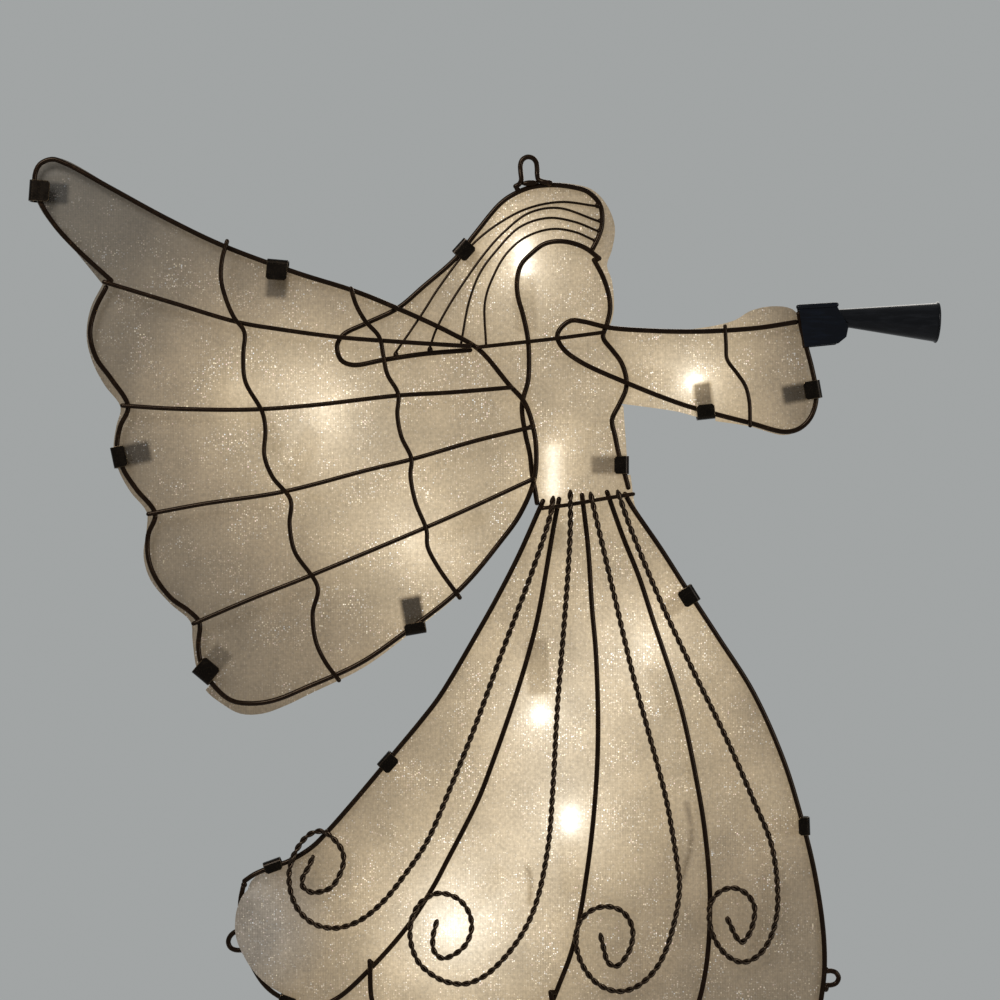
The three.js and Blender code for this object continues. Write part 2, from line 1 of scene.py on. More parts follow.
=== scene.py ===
"""Looks of the lighted wire-frame angel tree topper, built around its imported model. Metres."""
import math
import random

import bmesh
import bpy
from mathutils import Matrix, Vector
from mathutils.geometry import delaunay_2d_cdt, intersect_line_line_2d


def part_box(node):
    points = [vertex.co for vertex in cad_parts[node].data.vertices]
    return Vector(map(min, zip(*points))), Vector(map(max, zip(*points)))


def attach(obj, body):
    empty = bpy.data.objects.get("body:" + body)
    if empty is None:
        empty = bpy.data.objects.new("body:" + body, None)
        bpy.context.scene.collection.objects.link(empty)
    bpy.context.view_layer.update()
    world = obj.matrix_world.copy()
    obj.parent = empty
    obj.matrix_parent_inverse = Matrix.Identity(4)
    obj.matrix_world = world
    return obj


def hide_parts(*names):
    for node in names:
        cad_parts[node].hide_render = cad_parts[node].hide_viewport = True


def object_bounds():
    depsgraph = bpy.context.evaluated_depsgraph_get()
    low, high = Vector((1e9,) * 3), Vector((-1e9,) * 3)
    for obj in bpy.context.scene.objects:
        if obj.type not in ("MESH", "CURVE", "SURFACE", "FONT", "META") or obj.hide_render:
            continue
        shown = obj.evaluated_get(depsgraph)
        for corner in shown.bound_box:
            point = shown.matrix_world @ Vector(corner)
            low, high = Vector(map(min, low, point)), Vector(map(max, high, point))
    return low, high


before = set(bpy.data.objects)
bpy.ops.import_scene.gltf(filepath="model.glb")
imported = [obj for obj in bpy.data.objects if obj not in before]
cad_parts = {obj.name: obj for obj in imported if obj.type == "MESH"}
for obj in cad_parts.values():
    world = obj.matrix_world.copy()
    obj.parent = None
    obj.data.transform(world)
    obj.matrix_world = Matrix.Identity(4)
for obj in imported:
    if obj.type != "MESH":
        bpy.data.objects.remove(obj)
cad_low, cad_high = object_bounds()

BACKWARD = Vector((0, 1, 0))
UPWARD = Vector((0, 0, 1))

# Sizes of the real pieces.
MM = 0.001
FRAME_WIRE = 2 * MM
RIB_WIRE = 1.8 * MM
STRAND_WIRE = 1 * MM
LIGHT_WIRE = 1.6 * MM
SCROLL_WIRE = 2.4 * MM
WELD_GAP = 0.3 * MM

# Pixels of the front view, and their size in the frame.
LOOP_PIXEL = (527, 157)
UPRIGHT_LAMP_PIXELS = (522, 868)
VIEW_CENTRE_PIXEL = (500, 500)
VIEW_WIDTH_PIXELS = 1000


def middle_of(node):
    low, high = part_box(node)
    return (low + high) / 2


LAMP_SPAN = middle_of("bulb_6").z - middle_of("bulb_9").z
PIXEL = LAMP_SPAN / (UPRIGHT_LAMP_PIXELS[1] - UPRIGHT_LAMP_PIXELS[0])

# Depths of the layers.
BODY_DEPTH = middle_of("hair_outline").y
OUTLINE_DEPTH = middle_of("wing_outline").y
RIB_DEPTH = middle_of("wing_rib_1").y
WAVE_DEPTH = middle_of("wing_wavy_wire_1").y
CUFF_DEPTH = middle_of("cuff_wire").y
WAIST_DEPTH = middle_of("waist_wire").y
SCROLL_DEPTH = BODY_DEPTH - FRAME_WIRE / 2 - WELD_GAP - SCROLL_WIRE / 2
MESH_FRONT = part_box("skirt_mesh")[0].y
MESH_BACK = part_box("skirt_mesh")[1].y

# How far one end of a wire is lifted off its layer, and over what stretch.
BROW_LIFT = OUTLINE_DEPTH
BROW_LIFT_STRETCH = 30 * MM
HEM_LIFT = -FRAME_WIRE - WELD_GAP
HEM_LIFT_STRETCH = 40 * MM
SCROLL_LIFT = WAIST_DEPTH - LIGHT_WIRE / 2 - WELD_GAP - SCROLL_WIRE / 2 - SCROLL_DEPTH
SCROLL_LIFT_STRETCH = 24 * MM

# Kinds of wire: diameter, depth, and the lift with its stretch and its end.
OUTLINE_BAR = (FRAME_WIRE, OUTLINE_DEPTH, None)
RIB_BAR = (RIB_WIRE, RIB_DEPTH, None)
WAVE_BAR = (RIB_WIRE, WAVE_DEPTH, None)
BODY_BAR = (FRAME_WIRE, BODY_DEPTH, None)
STRAND_BAR = (STRAND_WIRE, BODY_DEPTH, None)
CUFF_BAR = (LIGHT_WIRE, CUFF_DEPTH, None)
WAIST_BAR = (LIGHT_WIRE, WAIST_DEPTH, None)
FACE_BAR = (FRAME_WIRE, BODY_DEPTH, (BROW_LIFT, BROW_LIFT_STRETCH, 0))
HEM_BAR = (FRAME_WIRE, BODY_DEPTH, (HEM_LIFT, HEM_LIFT_STRETCH, -1))
SCROLL_BAR = (SCROLL_WIRE, SCROLL_DEPTH, (SCROLL_LIFT, SCROLL_LIFT_STRETCH, 0))

# Each wire's kind and the pixels of its route, the same points as the solids follow.
WIRES = {
    "wing_outline": (OUTLINE_BAR, [
        [112, 281], [76, 248], [56, 226], [43, 206], [37, 191], [36, 176], [41, 165], [53, 160],
        [66, 164], [112, 189], [167, 219], [223, 246], [296, 273], [356, 292], [398, 309], [450, 333],
        [479, 350], [509, 385], [524, 402], [532, 423], [536, 448], [534, 480], [520, 514], [500, 542],
        [460, 589], [400, 636], [360, 663], [309, 686], [274, 700], [251, 703], [232, 700], [216, 687],
        [203, 667], [199, 646], [200, 622], [190, 611], [172, 598], [156, 577], [149, 557], [149, 535],
        [156, 514], [137, 489], [124, 469], [118, 448], [121, 427], [129, 407], [112, 379], [97, 358],
        [91, 334], [96, 310], [107, 288],
    ]),
    "wing_rib_1": (RIB_BAR, [
        [106, 283], [175, 304], [239, 323], [280, 330], [340, 338], [391, 342], [470, 347],
    ]),
    "wing_rib_2": (RIB_BAR, [
        [124, 406], [172, 409], [251, 410], [310, 406], [399, 396], [450, 393], [511, 388],
    ]),
    "wing_rib_3": (RIB_BAR, [
        [150, 514], [204, 504], [283, 492], [369, 470], [414, 459], [476, 441], [529, 428],
    ]),
    "wing_rib_4": (RIB_BAR, [
        [195, 623], [251, 599], [307, 577], [420, 530], [468, 509], [533, 479],
    ]),
    "wing_wavy_wire_1": (WAVE_BAR, [
        [229, 243], [224, 261], [223, 281], [228, 301], [236, 319], [246, 333], [245, 356], [247, 382],
        [264, 413], [267, 430], [266, 456], [274, 477], [292, 500], [291, 524], [296, 551], [319, 587],
        [314, 612], [317, 640], [326, 660], [340, 679],
    ]),
    "wing_wavy_wire_2": (WAVE_BAR, [
        [352, 290], [357, 306], [366, 322], [380, 338], [384, 356], [388, 375], [399, 395], [398, 415],
        [402, 437], [412, 459], [411, 475], [416, 502], [427, 530], [428, 546], [438, 566], [460, 597],
    ]),
    "hair_outline": (BODY_BAR, [
        [592, 250], [598, 238], [602, 224], [600, 205], [588, 192], [572, 187], [552, 185], [532, 187],
        [516, 193], [501, 203], [475, 234], [456, 258], [423, 287], [398, 308], [367, 323], [343, 335],
        [337, 346], [341, 360], [353, 365], [383, 360], [423, 354], [470, 350],
    ]),
    "hair_strand_1": (STRAND_BAR, [
        [595.6, 206], [561, 202], [529, 208], [501, 222], [472, 245], [440, 286], [420, 317],
        [396, 352],
    ]),
    "hair_strand_2": (STRAND_BAR, [
        [598, 221], [558, 208], [529, 213], [504, 232], [485, 253], [453, 299], [436, 330], [430, 347],
    ]),
    "hair_strand_3": (STRAND_BAR, [
        [597.5, 231], [575, 222], [548, 218], [520, 227], [496, 251], [480, 273], [469, 302],
        [461, 344],
    ]),
    "hair_strand_4": (STRAND_BAR, [
        [593.5, 240], [575, 232], [552, 229], [526, 237], [507, 253], [493, 277], [485, 302],
        [486, 345],
    ]),
    "face_and_back_wire": (FACE_BAR, [
        [599, 259], [584, 248], [563, 242], [545, 244], [531, 254], [521, 265], [517, 281], [518, 297],
        [523, 315], [528, 340], [529, 364], [528, 381], [522, 405], [525, 432], [530, 455], [532, 474],
        [535, 490], [537, 503],
    ]),
    "profile_and_chest_wire": (BODY_BAR, [
        [594, 260], [603, 277], [609, 296], [610, 310], [607, 324], [603, 337], [613, 351], [621, 362],
        [626, 377], [626, 389], [619, 405], [612, 420], [615, 436], [619, 455], [625, 475],
        [628.3, 487.5],
    ]),
    "shoulder_bar": (CUFF_BAR, [
        [477, 348], [523, 343], [558, 339], [604, 333],
    ]),
    "waist_wire": (WAIST_BAR, [
        [544, 508], [567, 505], [602, 499], [633, 494],
    ]),
    "sleeve_outline": (OUTLINE_BAR, [
        [795, 322.5], [760, 328], [723, 331], [690, 332], [647, 331], [609, 328], [583, 322],
        [571, 321], [561, 328], [557, 337], [563, 349], [580, 362], [626, 383], [680, 404], [714, 414],
        [749, 423], [784, 432], [798, 429], [809, 419], [815, 403], [815, 389], [811, 368], [806, 349],
        [801, 330], [798, 314],
    ]),
    "cuff_wire": (CUFF_BAR, [
        [724, 327], [725, 346], [726, 360], [736, 374], [744, 386], [748, 401], [749, 426],
    ]),
    "skirt_edge_left": (BODY_BAR, [
        [543, 501], [518, 557], [497, 598], [478, 632], [440, 696], [421, 721], [397, 750], [351, 805],
        [328, 831], [312, 847], [289, 861], [269, 868], [254, 874.5], [244.5, 881],
    ]),
    "skirt_rib_1": (BODY_BAR, [
        [559, 499], [554, 525], [538, 616], [529, 652], [516, 695], [492, 764], [478, 800], [448, 859],
        [432, 889], [407, 927], [369, 970], [336, 999], [310, 1008], [282, 998], [264, 984],
        [247, 953], [241, 922], [240.5, 901], [243, 887.5],
    ]),
    "skirt_rib_2": (HEM_BAR, [
        [582, 495], [588, 547], [592, 608], [596, 655], [598, 735], [595, 800], [587, 872], [574, 943],
        [561, 980], [543, 1018], [505, 1053], [450, 1065], [402, 1046], [374, 1005], [370, 960],
    ]),
    "skirt_rib_3": (HEM_BAR, [
        [607, 492], [623, 537], [639, 577], [653, 620], [680, 704], [697, 783], [705, 833], [710, 900],
        [705, 974], [692, 1018], [660, 1056], [620, 1073], [582, 1060], [557, 1028], [550.5, 991],
    ]),
    "skirt_edge_right": (HEM_BAR, [
        [625, 494], [631, 505], [661, 549], [684, 585], [718, 637], [753, 692], [783, 759], [801, 817],
        [815, 875], [824, 941], [823, 986], [813, 1025], [790, 1043], [760, 1046], [729, 1034],
        [712, 1019], [700, 1005],
    ]),
    "scroll_wire_1": (SCROLL_BAR, [
        [553, 497], [550, 515], [535, 563], [502, 652], [475, 726], [451, 786], [427, 841], [407, 871],
        [383, 901], [359, 920], [336, 927], [315, 923], [299, 909], [291, 890], [290, 869], [297, 849],
        [310, 833.5], [323, 830.5], [335, 839], [342.5, 850], [344, 861], [339.5, 875], [332, 886],
        [322, 890.5], [311, 891], [303, 885], [303.5, 876], [308, 868], [313.7, 855.5],
    ]),
    "scroll_wire_2": (SCROLL_BAR, [
        [570, 491], [570, 528], [568, 569], [564, 623], [557, 710], [553, 783], [548, 845], [536, 902],
        [523, 931], [504, 957], [484, 975], [466, 982.5], [448, 981], [433, 974], [418, 960],
        [410.5, 938], [412, 918], [421, 901.5], [437, 892.5], [455, 896], [466.5, 907], [471.8, 924],
        [466, 943], [452, 954.5], [442, 957], [434, 949.5], [433, 937], [437, 919.5],
    ]),
    "scroll_wire_3": (SCROLL_BAR, [
        [590, 493], [598, 528], [615, 600], [633, 676], [649, 735], [666, 800], [676, 858], [679, 880],
        [677, 906], [665, 950], [652, 972], [634, 986.5], [616, 990], [596, 981.5], [580.5, 960.5],
        [575.8, 938], [579.5, 921], [591, 909.5], [606, 905.5], [620.5, 909.5], [629.5, 920],
        [632.5, 934], [628, 951.5], [616, 965], [608, 961.5], [603.5, 948], [600, 933],
    ]),
    "scroll_wire_4": (SCROLL_BAR, [
        [617, 491], [630, 528], [661, 603], [693, 671], [723, 732], [753, 800], [771, 845], [777, 899],
        [774, 924], [766, 944], [754, 957], [741, 961], [726, 954], [714, 938], [709, 921], [710, 903],
        [719, 891], [733, 887], [746, 893], [753.5, 905], [753.5, 917], [748.5, 933], [741, 941],
        [735, 935], [730, 924.5], [726.5, 917],
    ]),
}
# The hanging loop's bends, and how far each comes forward to the layer of the outlines.
LOOP_PIXELS = [
    [515.5, 187, 1], [519, 185, 1], [521.2, 180.5, 0.6], [520.6, 172, 0.1], [520.4, 165, 0],
    [522.2, 160, 0], [527, 157, 0], [532.5, 158, 0], [536, 162, 0], [537, 168, 0], [537.2, 175, 0.1],
    [538.4, 180, 0.6], [543, 182.5, 1], [550, 183.5, 1],
]
# The two small loops on the hem.
TIE_LOOPS = {
    "hem_loop_left": [
        [239.2, 930.6], [234.5, 932.2], [230, 936.5], [228.3, 942], [230.3, 947.2], [235, 949.8],
        [242, 950.2],
    ],
    "hem_loop_right": [
        [826.9, 971.2], [831, 970.9], [835.8, 972.6], [838.6, 977.8], [836.2, 983], [831.5, 985],
        [826.7, 985.2],
    ],
}
# The outlines of the four cuts of mesh.
MESH_PIXELS = {
    "wing_mesh": [
        [53, 157], [66, 160], [112, 186], [167, 216], [223, 243], [296, 270], [356, 289], [398, 309.9],
        [449.8, 333.4], [478.6, 350.4], [508.6, 385.4], [523.6, 402.2], [531.6, 423], [535.5, 448],
        [534, 480], [519.5, 514], [501, 543], [463, 590], [403, 639], [363, 668], [310, 694],
        [285, 706], [262, 714], [240, 714], [220, 703], [205, 690], [196, 668], [192, 640], [190, 622],
        [170, 604], [150, 580], [143, 556], [146, 530], [146, 512], [130, 492], [118, 470], [113, 448],
        [116, 425], [120, 407], [104, 385], [92, 362], [86, 336], [90, 308], [102, 284], [74, 250],
        [52, 226], [39, 207], [33, 191], [33, 174], [39, 162],
    ],
    "body_mesh": [
        [402, 306], [423, 284], [456, 255], [475, 231], [501, 200], [516, 190], [532, 184], [552, 182],
        [575, 184], [592, 189], [606, 203], [615, 226], [612, 250], [607, 265], [612, 280], [614, 310],
        [610.5, 324], [602.6, 337], [612.5, 351.3], [620.5, 362.3], [625.4, 377], [625.6, 389],
        [619.2, 404.2], [623.5, 405.5], [624.5, 420], [626, 440], [627.5, 460], [631, 477], [633, 493],
        [602, 498.4], [567, 504.2], [541, 507], [534.9, 480], [536.5, 448], [532.5, 422.8],
        [524.4, 401.6], [509.5, 384.6], [479.5, 349.5], [450.3, 332.4], [405, 310.8],
    ],
    "sleeve_mesh": [
        [603.6, 336.9], [610, 326.2], [647, 328], [690, 329], [735, 320], [750, 311], [772, 306],
        [793, 309], [803, 322], [809, 349], [814, 368], [818, 389], [817, 405], [811, 421], [799, 431],
        [784, 435], [749, 426], [705, 419], [680, 412], [655, 408], [621, 403.5], [626.6, 389],
        [626.4, 377], [621.4, 361.6], [613.4, 350.6],
    ],
    "skirt_mesh": [
        [541, 508.3], [516, 556], [495, 597], [476, 631], [438, 695], [419, 720], [395, 749],
        [349, 804], [326, 830], [310, 846], [288, 859.5], [267, 868.5], [256, 876.5], [251, 881.5],
        [248.7, 886], [248, 889.5], [243.5, 894], [239.5, 902], [236.5, 912], [235.5, 930], [238, 942],
        [243, 953], [252, 968], [263, 980], [272, 987.5], [282, 994], [296, 1005], [312, 1011],
        [338, 1007], [366, 1004], [371, 1006], [400, 1049], [450, 1068], [507, 1056], [543, 1023],
        [553, 1030], [580, 1063], [620, 1076], [662, 1059], [694, 1020], [707, 1006], [727, 1037],
        [760, 1049], [792, 1046], [815, 1027], [826, 986], [827, 941], [818, 875], [804, 817],
        [786, 759], [756, 692], [721, 637], [687, 585], [664, 549], [635, 505], [633.6, 494.8],
        [602, 499.7], [567, 505.5],
    ],
}

# Clips.
CLIP_SHEET = 0.6 * MM
CLIP_REACH = 2.8 * MM
CLIP_TAB = 15 * MM
NARROW_CLIP = 7.2 * MM
WIDE_CLIP = 8.4 * MM
LONG_FACE = 8.4 * MM
SQUARE_FACE = 7 * MM
SHORT_FACE = 6 * MM
LIP_FACE = 4.8 * MM
WING_CLIP = (OUTLINE_DEPTH, WIDE_CLIP)
SLEEVE_CLIP = (OUTLINE_DEPTH, NARROW_CLIP)
BODY_CLIP = (BODY_DEPTH, NARROW_CLIP)
# Each clip's pixel on its wire, turn of its tab, wire's depth and width, face, and how dark its tab
# shows through the mesh.
CLIPS = {
    "wing_clip_tip": ((37.3, 191.5), -4, WING_CLIP, LONG_FACE, 0.8),
    "wing_clip_top": ((278, 267), -95, WING_CLIP, LONG_FACE, 0.75),
    "wing_clip_edge": ((120, 457), 12, WING_CLIP, SHORT_FACE, 0.85),
    "wing_clip_corner": ((205, 673), 50, WING_CLIP, LONG_FACE, 0.5),
    "wing_clip_bottom": ((415.2, 627.2), 100, WING_CLIP, LIP_FACE, 1.0),
    "hair_clip": ((463, 249), -42, BODY_CLIP, SQUARE_FACE, 0.3),
    "chest_clip": ((622, 465), 180, BODY_CLIP, SHORT_FACE, 0.65),
    "sleeve_clip_bottom": ((705.2, 412.6), 96, SLEEVE_CLIP, SHORT_FACE, 0.85),
    "sleeve_clip_end": ((813.3, 390), 190, SLEEVE_CLIP, SQUARE_FACE, 0.9),
    "skirt_clip_left": ((388, 762), -42, BODY_CLIP, SHORT_FACE, 0.0),
    "skirt_clip_corner": ((273.5, 866.5), -70, BODY_CLIP, LIP_FACE, 0.0),
    "skirt_clip_hip": ((690, 595), 212, BODY_CLIP, SQUARE_FACE, 0.35),
    "skirt_clip_right": ((803, 826), 182, BODY_CLIP, LIP_FACE, 0.2),
}
# The clip on the hem that the solids leave out.
EXTRA_CLIPS = {"skirt_clip_hem": ((288, 1000.5), 70, BODY_CLIP, LIP_FACE, 0.0)}
ALL_CLIPS = {**CLIPS, **EXTRA_CLIPS}

# Lamps: the pixel of the socket's middle, the turn that the bulb points to, and the cord's points
# on the way to the next lamp.
LAMPS = [
    ((264, 428), 122, []),
    ((303, 455), 64, [(320, 500), (380, 500), (440, 490)]),
    ((458, 527), 200, [(508, 500), (527, 450), (530, 390), (529, 350)]),
    ((525, 304), 92, [(548, 335), (585, 366)]),
    ((646, 378), -4, [(612, 404), (592, 430), (580, 470), (576, 520)]),
    ((553, 522), 90, [(534, 580), (530, 615)]),
    ((538, 667), -87, [(560, 656), (610, 680), (648, 712)]),
    ((664, 690), 112, [(690, 780), (693, 830), (680, 880), (640, 912), (596, 902)]),
    ((570, 868), 90, [(555, 922), (536, 918), (527, 885)]),
    ((485, 890), 228, []),
]
# How each lamp shows through the mesh: its heart, the glow round it, how far its light runs along
# the lamp both ways, and the share of light left in front of its socket.
LAMP_LIGHTS = [
    (0.05, 0.42, 0, 0.9),
    (0.07, 1.0, 0, 0.9),
    (0.08, 0.85, 0, 0.92),
    (0.9, 1.0, 4 * MM, 0.8),
    (0.9, 1.0, 0, 0.9),
    (0.55, 0.32, 9 * MM, 0.87),
    (1.0, 0.65, 0, 0.68),
    (0.1, 1.0, 0, 0.9),
    (0.95, 0.72, 1.5 * MM, 0.9),
    (0.1, 1.8, 0, 0.92),
]
# Light that reaches the skirt's right side, where no lamp stands.
SIDE_GLOW_PIXEL = (768, 800)
SIDE_GLOW_LEVEL = 0.3
SOCKET_LENGTH = 22 * MM
SOCKET_DIAMETER = 8.8 * MM
SOCKET_TAIL = 6.2 * MM
SOCKET_BORE = 4.4 * MM
BORE_DEPTH = 9 * MM
BASE_LENGTH = 8 * MM
BASE_CLEARANCE = 0.15 * MM
COLLAR_DIAMETER = 6.6 * MM
COLLAR_LENGTH = 1.6 * MM
SHOULDER = BASE_LENGTH + COLLAR_LENGTH
GLASS_DIAMETER = 5.4 * MM
GLASS_LENGTH = 16 * MM
TIP_LENGTH = 3 * MM
CORD_DIAMETER = 2.4 * MM
LAMP_DEPTH = MESH_BACK + WELD_GAP + SOCKET_DIAMETER / 2
CORD_DEPTH = LAMP_DEPTH - SOCKET_TAIL / 2 + WELD_GAP
# Stretches of the cord that show faintly through the skirt, their width, and the light left there.
CORD_SHOWS = [((686, 802), (692, 828)), ((692, 828), (691, 848)), ((691, 848), (682, 882)),
              ((527, 866), (531.5, 884)), ((531.5, 884), (529.5, 905))]
CORD_SHOWN = 0.8 * CORD_DIAMETER
CORD_SHADE = 0.6

# Trumpet.
HORN_NECK = 4 * MM
HORN_GRIP = 7.4 * MM
HORN_MOUTH = 16.4 * MM
HORN_WALL = 0.8 * MM
BRACKET_SHEET = 0.6 * MM
BRACKET_ROLL = 2 * MM
BRACKET_LAP = 3.6 * MM
HORN_NECK_PIXEL = (804.5, 316.5)
HORN_MOUTH_PIXEL = (936.5, 323)
BRACKET_PIXELS = [(797, 308), (834, 306), (846, 328), (844, 338), (836, 344.5), (803, 348)]

# Finer detail than the solids hold.
WIRE_STEP = 1.4 * MM
LOOP_STEP = 0.6 * MM
STRAND_SHARE = 0.52
TWIST_PITCH = 7.4 * MM
SCROLL_STEP = 0.5 * MM
BEAD_SHARE = 0.75
BEAD_WIDTH = 1.05
BEAD_LEAN = (0.85, 1.15)
WELD_REACH = 3.4 * MM
BEAD_SPACING = 4 * MM
END_REACH = 2.6 * MM
SOLDER_WIDTH = 1.1 * MM
# Solder between the hanging loop's feet, at the skirt's left corner and on the tie-down loops' legs.
LOOP_SOLDER = [((521, 184), (539, 183))]
HEM_SOLDER = [((245, 881.5), (243.2, 888)), ((241, 929), (241, 933)), ((244.5, 948), (246, 952)),
              ((826.4, 967), (826.4, 973)), ((826.4, 984), (825.6, 992))]
FOLD_RADIUS = 1.4 * MM
CLIP_LEAN = 0.12 * MM
CORNER_CUT = 0.9 * MM
CLIP_EDGE = 0.12 * MM
BEND_STEPS = 6
HORN_CHAMFER = 0.5 * MM
ROLL_SHARE = 0.6
ROLL_STEPS = 8
SHEET_EDGE = 0.14 * MM
PANEL_STEP = 5 * MM
PANEL_EDGE_STEP = 2 * MM
PANEL_CORNER = math.radians(50)
# The skirt's mesh laps over the front of the hem wire on the wing's side. Pixels between which it
# comes forward: across, and down from the corner. It ends at the last two.
LAP_ACROSS = (290, 262)
LAP_DOWN = (884, 892)
LAP_LEFT = 225
LAP_FOOT = 990
LAP_DEPTH = BODY_DEPTH - FRAME_WIRE / 2 - WELD_GAP
MESH_CLOTH = 0.2 * MM
MESH_SLACK = 0.08 * MM
SLACK_WAVE = 9 * MM
SLACK_SQUEEZE = 0.8
RIM_EDGE = 0.4 * MM
SOFT_EDGE = RIM_EDGE / 2
SOCKET_RIBS = 3
RIBS_START = 0.56
RIBS_PITCH = 0.11
RIB_CUT = 0.45 * MM
LEAD_STEP = 1.2 * MM
LEAD_PITCH = 26 * MM
LEAD_GAP = 0.02 * MM
TIP_STEPS = 6
TIP_WAIST = 2 * MM
FILAMENT_SPREAD = 1.1 * MM
FILAMENT_RISE = 7 * MM
FILAMENT_CROWN = 1.25
FILAMENT_STEP = 0.5 * MM
FILAMENT_WIRE = 0.35 * MM
SHARP_TURN = math.radians(40)
# Where round ends of bars are cut into rings, in radians from the bar's edge.
END_TURNS = (0.5, 1.0)
NOTHING = MM / 1000

# Colours and patterns of the materials.
WIRE_DARK = (0.006, 0.003, 0.0018)
WIRE_WORN = (0.030, 0.016, 0.008)
WIRE_SHINE = 0.12
TWIST_SHINE = 0.3
WARM_SHINE = (1.0, 0.74, 0.48)
WIRE_PATCH = 6 * MM
WIRE_SPOT = 0.8 * MM
WIRE_MARK = 2.5 * MM
FINE_GRAIN = 0.5 * MM
GRAIN_DEPTH = 0.02 * MM
CLIP_DARK = (0.007, 0.005, 0.0035)
# Colour of the clips' lighter edges and specks: wear, and along the edges a painted highlight.
CLIP_WEAR_AND_SHEEN = (0.17, 0.115, 0.06)
CLIP_PATCH = 3 * MM
CLIP_GRAIN = 0.4 * MM
CLIP_RUB_AND_SHEEN = 0.35 * MM
HORN_BLACK = (0.003, 0.0032, 0.004)
HORN_STREAK = (0.007, 0.0075, 0.009)
BRACKET_NAVY = (0.0022, 0.0027, 0.0042)
# Lighter streaks painted on the bracket as sheen.
BRACKET_SHEEN = (0.0035, 0.005, 0.009)
LACQUER_STREAK = 1.2 * MM
LACQUER_PEEL = 2.2 * MM
LACQUER_STRETCH = (0.12, 1, 1)
WEAVE_PITCH = 1.0 * MM
WEAVE_WOBBLE = 0.7 * MM
WOBBLE_SIZE = 14 * MM
WEAVE_DEPTH = 0.04 * MM
GRAIN_PITCH = 0.72 * MM
DRIFT_SIZE = 15 * MM
CLOUD_SIZE = 24 * MM
FLECK_SIZE = 1.4 * MM
MESH_DARK = (0.060, 0.052, 0.040)
MESH_LIGHT = (0.120, 0.104, 0.080)
MESH_COVER = 0.76
MESH_UNEVEN = 0.05
MESH_THROUGH = 0.3
GLITTER_TINTS = (
    (0.0, (0.62, 0.82, 1.0)), (0.3, (1.0, 1.0, 1.0)), (0.65, (1.0, 0.90, 0.62)), (1.0, (1.0, 0.72, 0.80)),
)
GLOW_EDGE = (1.0, 0.70, 0.38)
GLOW_MIDDLE = (1.0, 0.77, 0.47)
GLOW_HEART = (1.0, 0.94, 0.80)
GLOW_SPOT = 2.5 * MM
GLOW_SPOT_LEVEL = 8
GLOW_BLOOM = 6 * MM
GLOW_BLOOM_LEVEL = 0.9
GLOW_SHARE = 0.42
GLOW_REACH = 28 * MM
GLOW_HALO_LEVEL = 0.95
GLOW_SPREAD = 0.14
VEIL_REACH = 7 * MM
# The skirt's left lobe, away from the lamps: its painted glow is tinted cooler, and it is thick with
# glitter.
LOBE_PIXEL = (238, 925)
LOBE_CORE = 14 * MM
LOBE_EDGE = 38 * MM
LOBE_GLOW_TINT = (0.90, 0.94, 1.0)
LOBE_COOL = 0.4
LOBE_GLITTER = 0.55
TAB_SHADE = 0.10
SHADE_EDGE = 2.0 * MM
GLASS_TINT = (1.0, 0.93, 0.78)
GLASS_LIGHT = (1.0, 0.80, 0.46)
GLASS_GLOW = 1.2
GLASS_STREAK = 1.5 * MM
FILAMENT_TINT = (0.9, 0.6, 0.3)
FILAMENT_LIGHT = (1.0, 0.78, 0.42)
FILAMENT_GLOW = 8.0
HEAT_PATCH = 0.6 * MM
HOLDER_PALE = (0.68, 0.65, 0.56)
HOLDER_DARK = (0.56, 0.53, 0.45)
LEAD_PALE = (0.60, 0.57, 0.48)
LEAD_DARK = (0.50, 0.47, 0.39)
DUST_SIZE = 4 * MM
MOULD_MARK = 0.8 * MM
MOULD_GRAIN = 0.4 * MM
MOULD_DEPTH = 0.015 * MM
FLOOR_COLOUR = (0.50, 0.51, 0.52)
FLOOR_LIGHTER = (0.56, 0.57, 0.58)
FLOOR_CLOUD = 60 * MM

# Light and camera.
BULB_WATTS = 0.004
BULB_COLOUR = (1.0, 0.78, 0.48)
FLOOR_SHARE = 6
FLOOR_HEIGHT = cad_low.z - (cad_high - cad_low).z
BACKDROP = (0.36, 0.375, 0.375)
AMBIENT = (0.97, 0.98, 1.0)
AMBIENT_LEVEL = 0.7
# Each studio lamp's direction from the part, in lengths of its diagonal, its watts and colour.
STUDIO_LAMPS = {
    "key": ((-0.9, -1.5, 1.3), 9.0, (1.0, 0.97, 0.93)),
    "fill": ((1.6, -1.2, 0.3), 4.0, (0.93, 0.97, 1.0)),
    "back": ((0.5, 1.6, 0.9), 1.4, (1.0, 0.95, 0.88)),
}
CAMERA_LENS = 85
CAMERA_SENSOR = 36

# Wires welded to each other, and each wire's run and diameter, kept for the welds.
WELD_GROUPS = {
    "wing_welds": ("wing", "shoulder"),
    "body_welds": ("hair", "face", "profile", "waist", "hanging"),
    "sleeve_welds": ("sleeve", "cuff"),
    "skirt_welds": ("skirt", "scroll", "waist"),
}
WIRE_RUNS = {}


# Geometry.
def place(pixel, depth=0.0):
    return Vector(((pixel[0] - LOOP_PIXEL[0]) * PIXEL, depth, (LOOP_PIXEL[1] - pixel[1]) * PIXEL))


def heading(turn):
    """The direction in the front view that lies some degrees from the right."""
    angle = math.radians(turn)
    return Vector((math.cos(angle), 0, math.sin(angle)))


def spline(points, step):
    """Points about a step apart on a centripetal Catmull-Rom curve through the given ones."""
    ends = [2 * points[0] - points[1], *points, 2 * points[-1] - points[-2]]
    smooth = [points[0]]
    for four in zip(ends, ends[1:], ends[2:], ends[3:]):
        knots = [0.0]
        for one, two in zip(four, four[1:]):
            knots.append(knots[-1] + math.sqrt(max((two - one).length, NOTHING)))
        count = max(1, round((four[2] - four[1]).length / step))
        for i in range(1, count + 1):
            smooth.append(catmull_rom(four, knots, knots[1] + (knots[2] - knots[1]) * i / count))
    return smooth


